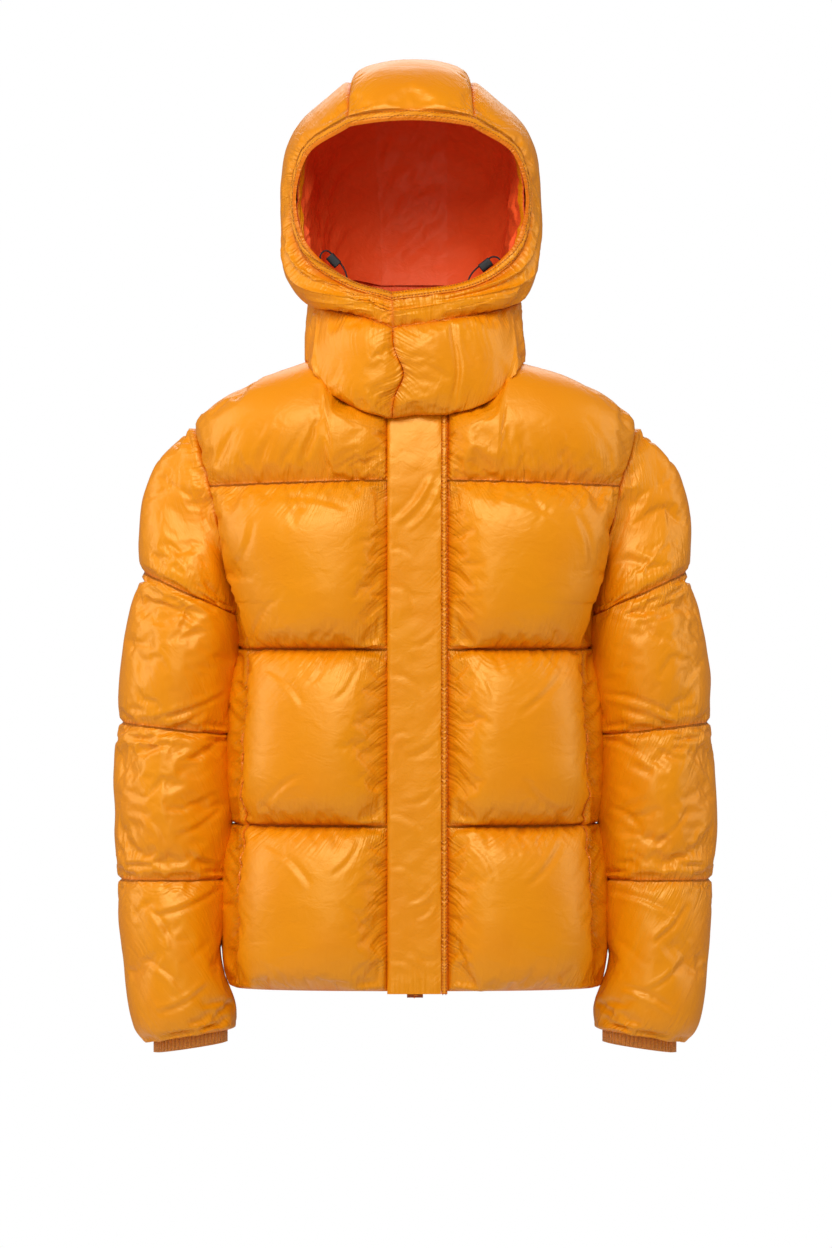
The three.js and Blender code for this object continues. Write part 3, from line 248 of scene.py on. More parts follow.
def body_point(angle, level):
    height, closing, rise = ring(level)
    x = body_width(height) * power(np.sin(angle), 2 / PLAN_POWER)
    depth = np.where(np.cos(angle) > 0, body_front(height), body_back(height))
    y = -depth * closing * power(np.cos(angle), 2 / PLAN_POWER)
    z = height - SHOULDER_SLOPE * np.abs(x) * rise**2.2
    return np.stack(np.broadcast_arrays(x, y, z), -1)


def angle_at(x, level, face):
    half = body_width(ring(level)[0])
    share = np.clip(np.abs(x) / half, 0, 1)
    angle = np.arcsin(share ** (PLAN_POWER / 2)) * np.where(np.asarray(x) < 0, -1, 1)
    return np.where(np.asarray(face) < 0, angle, math.pi - angle)


def body_normal(angle, level):
    step = 1e-3
    along = body_point(angle + step, level) - body_point(angle - step, level)
    up = body_point(angle, np.minimum(2, level + step)) - body_point(angle, level - step)
    normal = unit(np.cross(along, up))
    point = body_point(angle, level)
    outward = point.copy()
    outward[..., 2] -= np.minimum(point[..., 2], CHEST)
    return np.where(np.sum(normal * outward, -1, keepdims=True) < 0, -normal, normal)


def top_level(x, face):
    low = np.where(np.asarray(face) < 0, NECK_FRONT, NECK_BACK)
    share = np.clip(np.abs(x) / NECK_HALF, 0, 1)
    rise = 1 - (1 - low) * (1 - share**NECK_POWER) ** (1 / NECK_POWER)
    return np.where(np.abs(x) >= NECK_HALF, 2, level_of_height(lerp(CHEST, APEX, rise)))


def body_puff(x, level, face):
    height = ring(level)[0]
    edge = body_edge(height)
    start = np.where(x < 0, PUFF_START[-1], PUFF_START[1])
    front = np.asarray(face) < 0
    across = np.where(front, (np.abs(x) - start) / (edge - start), (x + edge) / (2 * edge))
    inside = (across > 0) & (across < 1)
    across = np.clip(across, 0, 1)
    width_shape = np.where(front, dome(across), dome(across, 4))
    yoke_level = level_of_height(YOKE_QUILT)
    top = top_level(x, face)
    t = np.clip((level - yoke_level) / np.maximum(top - yoke_level, 1e-6), 0, 1)
    shoulder = smoothstep(NECK_HALF - 30, NECK_HALF + 30, np.abs(x)) * RIDGE
    flatter = 1 - YOKE_FLAT * smoothstep(0.45, 1, t)
    yoke_shape = np.where(t < 0.5, dome(t), np.maximum(dome(t) * flatter, shoulder))
    yoke = np.where(front, FRONT_YOKE_PUFF, BACK_YOKE_PUFF) * yoke_shape
    low = np.where(height < WAIST_QUILT, HEM, np.where(height < CHEST_QUILT, WAIST_QUILT, CHEST_QUILT))
    high = np.where(
        height < WAIST_QUILT, WAIST_QUILT, np.where(height < CHEST_QUILT, CHEST_QUILT, YOKE_QUILT)
    )
    sunk = np.clip((height - low) / (high - low), 0, 1) ** DROOP
    lower = np.where(front, FRONT_PUFF, BACK_PUFF) * dome(sunk)
    shallow = SEAM_PUFF * smoothstep(HEM, HEM + 60, height) * (1 - smoothstep(0, 0.3, t))
    return np.maximum(np.where(level > yoke_level, yoke, lower), shallow) * width_shape * inside


def body_cells(x, level, face):
    angle = angle_at(x, level, face)
    return body_point(angle, level), body_normal(angle, level), body_puff(x, level, face)


# Grids of points for each panel


def even(length, cell=GRID):
    """Even steps from 0 to 1, an even number of them, for a length."""
    return np.linspace(0, 1, 2 * max(2, round(length / cell / 2)) + 1)


HEM_ROWS, WAIST_ROWS, CHEST_ROWS, YOKE_ROWS = even(180), even(192), even(190), even(200)


def levels_up_to(top):
    """Levels of all rows for each column of top."""
    heights = np.concatenate(
        [
            lerp(HEM, WAIST_QUILT, HEM_ROWS[:-1]),
            lerp(WAIST_QUILT, CHEST_QUILT, WAIST_ROWS[:-1]),
            lerp(CHEST_QUILT, YOKE_QUILT, CHEST_ROWS[:-1]),
        ]
    )
    low = np.repeat(level_of_height(heights)[:, None], len(top), 1)
    start = level_of_height(YOKE_QUILT)
    high = start + YOKE_ROWS[:, None] * (np.asarray(top) - start)[None, :]
    return np.vstack([low, high])


QUILT_ROWS = np.cumsum([len(HEM_ROWS) - 1, len(WAIST_ROWS) - 1, len(CHEST_ROWS) - 1])
TOP_ROW = QUILT_ROWS[2] + len(YOKE_ROWS) - 1


def row_distance(seams, point):
    """Distance from each point to the nearest seam row, along its column."""
    step = np.linalg.norm(np.diff(point, axis=0), axis=-1)
    run = np.vstack([np.zeros((1, point.shape[1])), np.cumsum(step, 0)])
    away = [np.abs(run - run[s]) for s in seams]
    return np.min(away, 0), run


def column_distance(seams, point):
    """Distance from each point to the nearest seam column, along its row."""
    step = np.linalg.norm(np.diff(point, axis=1), axis=-1)
    run = np.hstack([np.zeros((point.shape[0], 1)), np.cumsum(step, 1)])
    if not seams:
        return np.full(run.shape, 400.0), run
    away = [np.abs(run - run[:, s : s + 1]) for s in seams]
    return np.min(away, 0), run


def panel(name, base, normal, puff, rows, columns, around=False, sewn="hlfs", slant=1.0):
    """One padded piece: its pattern points, the seams that hold it and its measured distances."""
    base = base.copy()
    for key, edge, inner, axis in (("l", 0, 1, 0), ("h", -1, -2, 0), ("f", 0, 1, 1), ("s", -1, -2, 1)):
        if key in sewn and not (around and axis == 1):
            at = (edge,) if axis == 0 else (slice(None), edge)
            to = (inner,) if axis == 0 else (slice(None), inner)
            base[at] += unit(base[to] - base[at]) * SEAM_GAP / 2
    from_rows, v = row_distance(rows, base)
    from_columns, u = column_distance(columns, base)
    pin = np.zeros(base.shape[:2], bool)
    pin[list(rows), :] = True
    for c in columns:
        pin[:, c] = True
    return {
        "name": name, "base": base, "normal": normal, "puff": puff, "out": SHELL_OUT, "around": around,
        "from_rows": from_rows, "from_columns": from_columns, "u": u, "v": v, "pin": pin,
        "seams": list(rows), "slant": slant, "upwards": not around,
    }


def front_panel(side):
    start = PUFF_START[side]
    shoulder = float(body_edge(APEX))
    neck_share = (NECK_HALF - start) / (shoulder - start)
    shares = even(shoulder - start)
    strip = [ZIP_HALF, (ZIP_HALF + start) / 2 - 2, start - 3, start - 0.5]

    def across(share, level):
        return start + share * (body_edge(ring(level)[0]) - start)

    tops = np.array(
        [float(top_level(min(across(s, 2.0), across(s, 1.6)), -1)) if s < neck_share else 2 for s in shares]
    )
    strip_tops = np.array([float(top_level(x, -1)) for x in strip])
    levels = levels_up_to(np.concatenate([strip_tops, tops]))
    wide = start + shares[None, :] * (body_edge(ring(levels[:, len(strip) :])[0]) - start)
    x = np.hstack([np.repeat(np.array(strip)[None, :], len(levels), 0), wide]) * side
    base, normal, puff = body_cells(x, levels, -1)
    flat = list(range(len(strip) + 1))
    name = "front_right" if side < 0 else "front_left"
    rows = [0, *QUILT_ROWS, TOP_ROW]
    return panel(name, base, normal, puff, rows, [*flat, x.shape[1] - 1], sewn="hfs")


def back_panel():
    neck = NECK_HALF / float(body_edge(APEX))
    shares = even(480)
    shares = shares * 2 - 1
    tops = np.array(
        [float(top_level(abs(s) * float(body_edge(APEX)), 1)) if abs(s) < neck - 1e-6 else 2 for s in shares]
    )
    levels = levels_up_to(tops)
    x = shares[None, :] * body_edge(ring(levels)[0])
    base, normal, puff = body_cells(x, levels, 1)
    rows = [0, *QUILT_ROWS, TOP_ROW]
    return panel("back", base, normal, puff, rows, [0, x.shape[1] - 1], sewn="hfs")


def side_cells(columns, level):
    """columns runs -1 at the front seam to 1 at the back seam, on the wearer's left."""
    edge = body_edge(ring(level)[0])
    front, back = angle_at(edge, level, -1), angle_at(edge, level, 1)
    half = np.where(columns < 0, math.pi / 2 - front, back - math.pi / 2)
    angle = math.pi / 2 + columns * half
    return body_point(angle, level), body_normal(angle, level)


def side_top_level(columns):
    return level_of_height(lerp(ARMPIT, SIDE_TOP, columns * columns))


def side_panel(side):
    columns = even(110, 6) * 2 - 1
    top_rows = even(70, 6)
    low = level_of_height(
        np.concatenate(
            [lerp(HEM, WAIST_QUILT, HEM_ROWS[:-1]), lerp(WAIST_QUILT, CHEST_QUILT, WAIST_ROWS[:-1])]
        )
    )
    low = np.repeat(low[:, None], len(columns), 1)
    bottom = level_of_height(CHEST_QUILT)
    high = bottom + top_rows[:, None] * (side_top_level(columns) - bottom)[None, :]
    levels = np.vstack([low, high])
    t = np.concatenate([HEM_ROWS[:-1], WAIST_ROWS[:-1], top_rows])
    deep = np.concatenate(
        [
            np.full(len(HEM_ROWS) - 1, SIDE_HEM_PUFF),
            np.full(len(WAIST_ROWS) - 1, SIDE_PUFF),
            np.full(len(top_rows), SIDE_TOP_PUFF),
        ]
    )
    across = np.repeat(columns[None, :], len(t), 0)
    base, normal = side_cells(across, levels)
    puff = (deep * dome(t))[:, None] * dome((across + 1) / 2, 3, 2)
    base[..., 0] *= side
    normal[..., 0] *= side
    rows = [0, len(HEM_ROWS) - 1, len(HEM_ROWS) + len(WAIST_ROWS) - 2, len(t) - 1]
    name = "side_right" if side < 0 else "side_left"
    return panel(name, base, normal, puff, rows, [0, len(columns) - 1], sewn="hfs")


# Sleeves

SOLID_CHEST = [0, 0.07, 0.28, (SIDE_TOP - CHEST_QUILT) / (YOKE_QUILT - CHEST_QUILT), 0.7, 0.93]
SOLID_YOKE = [0, 0.07, 0.28, 0.5, 0.72, 0.9, 1]


def armhole_seam():
    """The seam as the solids have it, then smoothed round: point, normal, leaving, low and around."""
    yoke_level = float(level_of_height(YOKE_QUILT))
    rising = np.array(
        [float(level_of_height(lerp(CHEST_QUILT, YOKE_QUILT, t))) for t in SOLID_CHEST[3:]]
        + [lerp(yoke_level, 2, t) for t in SOLID_YOKE]
    )
    edge = body_edge(ring(rising)[0])
    fronts = body_cells(edge, rising, -1)
    backs = body_cells(edge, rising, 1)
    under = np.array([-0.6, -0.2, 0.2, 0.6])
    arm = side_cells(under, side_top_level(under))
    point = np.vstack([fronts[0][::-1], arm[0], backs[0][:-1]])
    normal = np.vstack([fronts[1][::-1], arm[1], backs[1][:-1]])
    along = np.roll(point, -1, 0) - np.roll(point, 1, 0)
    leaving = unit(np.cross(along, normal))
    leaving = np.where(leaving[:, :1] < 0, -leaving, leaving)
    low = np.clip((ARMHOLE_LOW - point[:, 2]) / ARMHOLE_OVER, 0, 1)
    seen = (np.arctan2(-point[:, 1], point[:, 2] - ARMHOLE_MIDDLE) + 2 * math.pi) % (2 * math.pi)
    count = len(point)
    around = lerp(seen, 2 * math.pi * np.arange(count) / count, ARMHOLE_EVENLY)
    around[0] = 0
    both = np.hstack([point, normal, leaving, low[:, None], around[:, None]])
    ahead, behind = both[:3].copy(), both[-3:].copy()
    ahead[:, -1] += 2 * math.pi
    behind[:, -1] -= 2 * math.pi
    looped = np.vstack([behind, both, ahead])
    steps = 4
    where = np.arange(count * steps) / steps + 3
    fine = spline(np.arange(len(looped)), looped, where)
    return {
        "point": fine[:, :3], "normal": unit(fine[:, 3:6]), "leaving": unit(fine[:, 6:9]),
        "low": fine[:, 9], "around": fine[:, 10],
    }


sleeve_ring = {
    name: column(SLEEVE_RINGS, i + 1) for i, name in enumerate(["z", "x", "across", "y", "deep", "lean"])
}


def sleeve_ring_point(around, seam):
    across = sleeve_ring["across"](seam) * power(np.cos(around), 2 / SLEEVE_POWER)
    deep = -sleeve_ring["deep"](seam) * power(np.sin(around), 2 / SLEEVE_POWER)
    x = sleeve_ring["x"](seam) + across
    y = sleeve_ring["y"](seam) + deep
    z = sleeve_ring["z"](seam) + across * sleeve_ring["lean"](seam)
    return np.stack(np.broadcast_arrays(x, y, z), -1)


def sleeve_cap(seam, share):
    """Points from the armhole (share 0) over to the first ring (share 1)."""
    start = seam["point"] + seam["leaving"] * SEAM_GAP
    end = sleeve_ring_point(seam["around"], np.ones(len(start)))
    chord = end - start
    reach = np.linalg.norm(chord, axis=1, keepdims=True)
    low = seam["low"][:, None]
    first = lerp(seam["leaving"], unit(chord), CAP_TURN * (1 - low))
    first[:, :1] += CAP_OUTWARDS * low
    first = unit(first)
    last = unit(sleeve_ring_point(seam["around"], np.full(len(start), CAP_LAST)) - end)
    a = start + first * (CAP_FIRST_REACH * reach + CAP_MORE)
    b = end - last * CAP_LAST_REACH * reach
    t = share[:, None, None]
    return (1 - t) ** 3 * start + 3 * (1 - t) ** 2 * t * a + 3 * (1 - t) * t * t * b + t**3 * end


def sleeve_panel(side):
    seam = armhole_seam()
    rows = [even(length) for length in SLEEVE_LENGTHS]
    cap = sleeve_cap(seam, rows[0][:-1])
    seams = np.concatenate([1 + rows[1][:-1], 2 + rows[2][:-1], 3 + rows[3]])
    tube = sleeve_ring_point(seam["around"][None, :], seams[:, None])
    base = np.concatenate([cap, tube])
    where = np.concatenate([rows[0][:-1], seams])
    along = np.gradient(base, axis=0)
    around = np.roll(base, -1, 1) - np.roll(base, 1, 1)
    normal = unit(np.cross(along, around))
    centre_x, centre_y = (
        np.repeat(sleeve_ring[name](np.maximum(1, where))[:, None], base.shape[1], 1) for name in "xy"
    )
    centre = np.stack([centre_x, centre_y, base[..., 2]], -1)
    turned = np.sum(normal * (base - centre), -1, keepdims=True) < 0
    normal = np.where(turned & (where >= 1)[:, None, None], -normal, normal)
    first = len(rows[0]) - 1
    for r in range(first - 1, -1, -1):
        against = np.sum(normal[r] * normal[r + 1], -1, keepdims=True) < 0
        normal[r] = np.where(against, -normal[r], normal[r])
    normal[0] = seam["normal"]
    t = where - np.floor(where)
    t[-1] = 1
    angle = seam["around"][None, :]
    share = smoothstep(0.02, 0.5, 0.5 + 0.5 * np.cos(angle))
    beside = lerp(SLEEVE_FACE, SLEEVE_OUTER, np.maximum(0, np.cos(angle)) ** 2)
    full = np.where(where[:, None] < 1, SLEEVE_CAP, beside)
    span = np.linalg.norm(base[0] - base[first], axis=-1)
    reach = np.where(where[:, None] < 1, np.clip(span / CAP_FULL, 0.1, 1)[None, :], 1)
    ends = smoothstep(0, 0.5, where) * smoothstep(SLEEVE_END, 3.6, where)
    shallow = 0.6 * SEAM_PUFF * ends[:, None] * share
    puff = np.maximum(lerp(SLEEVE_INNER, full, share) * dome(t)[:, None], shallow) * reach
    folded = np.where(where[:, None] < 1, 1 - CAP_FOLDED * seam["low"][None, :], 1)
    puff = (SHELL_OUT + puff) * folded - SHELL_OUT
    base[..., 0] *= side
    normal[..., 0] *= side
    quilts = np.cumsum([0] + [len(r) - 1 for r in rows])
    name = "sleeve_right" if side < 0 else "sleeve_left"
    return panel(name, base, normal, puff, list(quilts), [], around=True, sewn="")


# The hood and its neck


def lap(degrees, v):
    fade = np.maximum(0, 1 - degrees / LAP_FADE) ** 2
    return (LAP_ACROSS + LAP_WAVE * np.exp(-(((v - LAP_AT) / LAP_HALF) ** 2))) * fade


def neck_seam_point(degrees):
    a = np.radians(degrees)
    deep = np.where(degrees < 90, SEAM_FRONT, SEAM_BACK)
    x = SEAM_ACROSS * power(np.sin(a), SEAM_BEND)
    y = -deep * power(np.cos(a), SEAM_BEND)
    z = SEAM_LOW + SEAM_RISE * np.sin(a / 2) ** SEAM_RISE_POWER
    return np.stack([x, y, z], -1)


def neck_seam_normal(degrees):
    a = np.radians(degrees)
    return np.stack([np.sin(a), -np.cos(a), 0 * a], -1)


def flip(points, side):
    return points * np.array([side, 1, 1])


def neck_foot(degrees, side):
    a = np.radians(degrees)
    face = np.where(degrees <= 90, -1, 1)
    low = np.where(face < 0, FOOT_FRONT, FOOT_BACK)
    x = FOOT_HALF * np.sin(a) ** (2 / NECK_POWER) + side * lap(degrees, 0)
    rise = 1 - (1 - low) * np.abs(np.cos(a)) ** (2 / NECK_POWER)
    level = level_of_height(lerp(CHEST, APEX, rise))
    base, normal, puff = body_cells(side * x, level, face)
    near = np.where(face < 0, 1 - smoothstep(FOOT_FULL, FOOT_NONE, np.abs(x)), 0)
    lift = SHELL_OUT + puff + FOOT_CLEAR + FOOT_OVER * near
    return base + normal * lift[..., None]


def neck_points(degrees, v, side):
    """Points for each entry of v (rows) and of degrees (columns)."""
    foot = neck_foot(degrees, side)
    top = neck_seam_point(degrees)
    top[:, 0] = side * (top[:, 0] + side * lap(degrees, 1))
    point = lerp(foot[None], top[None], v[:, None, None])
    point[..., 0] += lap(degrees[None, :], v[:, None]) - lap(degrees, 0)[None, :]
    return point


HOOD_U_SOLID = np.array([0, 0.12, 0.26, 0.42, 0.58, 0.72, 0.84, 0.93, 1])


def hood_around(u):
    return spline([line[0] for line in HOOD_LINES], [line[1] for line in HOOD_LINES], u)


def centre_around(w):
    return 180 - np.abs(w) * (180 - float(hood_around(1)))


def neck_panel(side):
    solid = np.concatenate([hood_around(HOOD_U_SOLID), centre_around(np.array([0.7, 0.25])), [180]])
    count = 2 * 40
    where = np.linspace(0, len(solid) - 1, count + 1)
    degrees = np.interp(where, np.arange(len(solid)), solid)
    v = even(130)
    base = neck_points(degrees, v, side)
    normal = np.repeat(flip(neck_seam_normal(degrees), side)[None], len(v), 0)
    normal[..., 2] -= (NECK_TILT * (1 - v))[:, None]
    normal = unit(normal)
    across = where / (len(solid) - 1)
    over = np.maximum(0, 1 - where / LAP_COLUMNS) * LAP_THICK * (side > 0)
    laps = over[None, :] * (np.sin(math.pi * np.clip(v, LAP_FROM, LAP_TO)) ** LAP_FULLNESS)[:, None]
    deep = lerp(NECK_PUFF_SIDE, NECK_PUFF_FRONT, np.cos(np.radians(degrees)) ** 2)
    puff = deep[None, :] * dome(v)[:, None] * dome(0.02 + 0.98 * across, 6, 2)[None, :] + laps
    name = "neck_right" if side < 0 else "neck_left"
    return panel(name, base, normal, puff, [0, len(v) - 1], [0, count], sewn="hfs", slant=0.2)


def hood_side_points(us, vs, side):
    """Points for each entry of vs (rows) and of us (columns), in the row frame."""
    us, vs = np.atleast_1d(us).astype(float), np.atleast_1d(vs).astype(float)
    at_u = [line[0] for line in HOOD_LINES]
    lines, feet = [], []
    for line in HOOD_LINES:
        foot = neck_seam_point(np.array([float(line[1])]))[0]
        points = np.array([foot, *line[2:]], float)
        lines.append(spline(HOOD_V, points, vs))
        feet.append(points[0])
    point = spline(at_u, np.array(lines), us).transpose(1, 0, 2)
    foot = spline(at_u, np.array(feet), us)
    around = hood_around(us)
    point = point + (neck_seam_point(around) - foot)[None] * ((1 - vs) ** 3)[:, None, None]
    rising = smoothstep(HOOD_LEAN_FROM, HOOD_LEAN_TO, point[..., 2])
    lean = HOOD_LEAN * smoothstep(0, 0.5, vs)[:, None] * rising
    point[..., 0] = side * point[..., 0] + lap(around, 1)[None, :] - lean
    return point


def hood_side_normals(us, vs, side):
    us, vs = np.atleast_1d(us).astype(float), np.atleast_1d(vs).astype(float)
    step = 0.01
    point = hood_side_points(us, vs, side)
    ahead, behind = np.minimum(1, vs + step), np.maximum(0, vs - step)
    along = hood_side_points(us, ahead, side) - hood_side_points(us, behind, side)
    ahead, behind = np.minimum(1, us + step), np.maximum(0, us - step)
    across = hood_side_points(ahead, vs, side) - hood_side_points(behind, vs, side)
    normal = unit(np.cross(along, across))
    inward = np.sum(normal * (point - HOOD_MIDDLE), -1, keepdims=True) < 0
    normal = np.where(inward, -normal, normal)
    seam = flip(neck_seam_normal(hood_around(us)), side)[None]
    blended = unit(lerp(seam, normal, smoothstep(0, 0.2, vs)[:, None, None]))
    first = us == 0
    blended[:, first] = np.where((vs > 0)[:, None, None], np.array([0, -1.0, 0]), blended[:, first])
    return blended


def hood_side_panel(side):
    us = np.interp(np.linspace(0, 8, 2 * 32 + 1), np.arange(9), HOOD_U_SOLID)
    vs = even(290)
    base = hood_side_points(us, vs, side)
    normal = hood_side_normals(us, vs, side)
    height = np.clip(us / HOOD_LOW, HOOD_LOW_SHARE, 1)[None, :]
    valley = HOOD_BAND_DEPTH * np.exp(-(((vs[:, None] - HOOD_BAND) / HOOD_BAND_HALF) ** 2))
    valley = valley * (1 - smoothstep(0.5, 0.8, us))[None, :]
    puff = HOOD_PUFF * height * dome(vs)[:, None] * dome(0.06 + 0.94 * us, 3.2, 1.8)[None, :]
    name = "hood_side_right" if side < 0 else "hood_side_left"
    return panel(
        name, base, normal, puff * (1 - valley), [0, len(vs) - 1], [0, len(us) - 1], slant=0.3
    )


def hood_centre_cells(ws, vs):
    ws, vs = np.atleast_1d(ws).astype(float), np.atleast_1d(vs).astype(float)
    right, left = hood_side_points(1, vs, -1)[:, 0], hood_side_points(1, vs, 1)[:, 0]
    n_right, n_left = hood_side_normals(1, vs, -1)[:, 0], hood_side_normals(1, vs, 1)[:, 0]
    base = lerp(right[:, None], left[:, None], ((ws + 1) / 2)[None, :, None])
    seam = np.where((ws < 0)[None, :, None], n_right[:, None], n_left[:, None])
    middle = unit(seam * np.array([0, 1, 1]))
    normal = unit(lerp(middle, seam, (np.abs(ws) ** 1.5)[None, :, None]))
    rise = HOOD_ARCH * (1 - ws * ws)[None, :] * np.minimum(1, 4 * vs)[:, None]
    base = base + middle * rise[..., None]
    sides = np.where(ws < 0, -1, 1)
    foot = neck_seam_point(centre_around(ws)) * np.stack([sides, 0 * sides + 1, 0 * sides + 1], -1)
    base = lerp(base, foot[None], np.maximum(0, 1 - 10 * vs)[:, None, None])
    return base, normal


def hood_centre_panel():
    ws = even(130) * 2 - 1
    vs = even(470)
    base, normal = hood_centre_cells(ws, vs)
    puff = HOOD_CENTRE_PUFF * dome(vs, 6, 2)[:, None] * dome((ws + 1) / 2, 3, 2)[None, :]
    return panel("hood_centre", base, normal, puff, [0, len(vs) - 1], [0, len(ws) - 1], slant=0.2)


def hood_round(v, us, ws):
    """One line right round the hood at height v, from the left closure over to the right."""
    left = hood_side_points(us, v, 1)[0], hood_side_normals(us, v, 1)[0]
    right = hood_side_points(us, v, -1)[0], hood_side_normals(us, v, -1)[0]
    over = [part[0] for part in hood_centre_cells(ws, v)]
    return [np.vstack([left[i], over[i][::-1], right[i][::-1]]) for i in range(2)]


# Meshes


def link(name, data):
    obj = bpy.data.objects.new(name, data)
    bpy.context.scene.collection.objects.link(obj)
    return obj


def stand_for(obj, node):
    """The object takes its solid's place on the root, and the solid is hidden."""
    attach(obj, "root")
    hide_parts(node)


def grid_faces(rows, columns, around, start=0, turned=False):
    r = np.arange(rows - 1)[:, None]
    c = np.arange(columns if around else columns - 1)[None, :]
    d = (c + 1) % columns
    quad = [start + r * columns + c, start + r * columns + d,
            start + (r + 1) * columns + d, start + (r + 1) * columns + c]
    if turned:
        quad = quad[::-1]
    return np.stack(quad, -1).reshape(-1, 4).tolist()


def wall_mesh(name, outer, inner, around, uv, fields, materials, inside=0, pick=None, closing=None):
    """A closed wall. The inner grid has one cell for each few of the outer; n-gons close the edges.
    closing holds the UVs at which a grid that goes around meets itself."""
    rows, columns = outer.shape[:2]
    inner_rows, inner_columns = inner.shape[:2]
    step = (rows - 1) // (inner_rows - 1)
    start = rows * columns
    verts = np.vstack([outer.reshape(-1, 3), inner.reshape(-1, 3)]) * MM
    faces = grid_faces(rows, columns, around)
    outer_count = len(faces)
    faces += grid_faces(inner_rows, inner_columns, around, start, turned=True)
    inner_end = len(faces)
    spans = inner_columns if around else inner_columns - 1
    for i in range(spans):
        j = (i + 1) % inner_columns
        low = [(i * step + k) % columns for k in range(step + 1)]
        faces.append([start + i, start + j] + low[::-1])
        top = [(rows - 1) * columns + k for k in low]
        last = start + (inner_rows - 1) * inner_columns
        faces.append([last + j, last + i] + top)
    if not around:
        for i in range(inner_rows - 1):
            left = [(i * step + k) * columns for k in range(step + 1)]
            a, b = start + i * inner_columns, start + (i + 1) * inner_columns
            faces.append([b, a] + left)
            right = [k + columns - 1 for k in left]
            faces.append([a + inner_columns - 1, b + inner_columns - 1] + right[::-1])
    quads = np.array(faces[:inner_end])
    a, b, c, d = (verts[quads[:, i]] for i in range(4))
    if (np.cross(b - a, c - a) * a + np.cross(c - a, d - a) * a).sum() < 0:
        faces = [f[::-1] for f in faces]
    mesh = bpy.data.meshes.new(name)
    mesh.from_pydata(verts.tolist(), [], faces)
    kind = np.zeros(len(faces), int)
    kind[outer_count:inner_end] = inside
    if pick is not None:
        kind[:outer_count] = pick
    for material in materials:
        mesh.materials.append(material)
    mesh.polygons.foreach_set("material_index", kind.astype("i"))
    mesh.polygons.foreach_set("use_smooth", np.ones(len(faces), bool))
    stride = (slice(None, None, step), slice(None, None, step))
    all_uv = np.vstack([uv.reshape(-1, 2), uv[stride].reshape(-1, 2)[: inner_rows * inner_columns]]) * MM
    layer = mesh.uv_layers.new(name="cloth")
    corners = np.empty(len(mesh.loops), "i")
    mesh.loops.foreach_get("vertex_index", corners)
    places = all_uv[corners]
    if closing is not None:
        last = np.arange(outer_count) % columns == columns - 1
        at = (np.flatnonzero(last)[:, None] * 4 + np.arange(4)).ravel()
        at = at[corners[at] % columns == 0]
        places[at] = closing[corners[at] // columns] * MM
    layer.data.foreach_set("uv", places.astype("f").ravel())
    for field, values in fields.items():
        both = np.concatenate([values.ravel(), values[stride].ravel()[: inner_rows * inner_columns]])
        attribute = mesh.attributes.new(field, "FLOAT", "POINT")
        attribute.data.foreach_set("value", (both * MM).astype("f"))
    mesh.set_sharp_from_angle(angle=math.radians(70))
    mesh.update()
    return link(name, mesh)


def finer(grid, around=False):
    """The grid with a point put between each two, on a smooth curve."""

    def along(g, wrap):
        if wrap:
            padded = np.concatenate([g[-1:], g, g[:2]])
        else:
            padded = np.concatenate([2 * g[:1] - g[1:2], g, 2 * g[-1:] - g[-2:-1]])
        middle = (9 * (padded[1:-2] + padded[2:-1]) - padded[:-3] - padded[3:]) / 16
        out = np.empty((len(g) + len(middle),) + g.shape[1:])
        out[0::2], out[1::2] = g, middle
        return out

    rows = along(grid, False)
    return np.swapaxes(along(np.swapaxes(rows, 0, 1), around), 0, 1)


def grid_normals(points, around, like=None):
    down = np.gradient(points, axis=0)
    if around:
        across = np.roll(points, -1, 1) - np.roll(points, 1, 1)
    else:
        across = np.gradient(points, axis=1)
    normal = unit(np.cross(across, down))
    if like is not None:
        flipped = np.sum(normal * like, -1, keepdims=True) < 0
        normal = np.where(flipped, -normal, normal)
    return normal


# Padding: cloth that is blown up between its seams

NYLON = {
    "vertex_group_mass": "held", "pin_stiffness": 1.0, "quality": 6, "mass": 0.25, "air_damping": 1.5,
    "tension_stiffness": 30, "compression_stiffness": 12, "shear_stiffness": 4, "bending_stiffness": 0.06,
    "tension_damping": 6, "compression_damping": 6, "shear_damping": 6, "bending_damping": 0.4,
    "use_pressure": True, "uniform_pressure_force": 3.2,
}


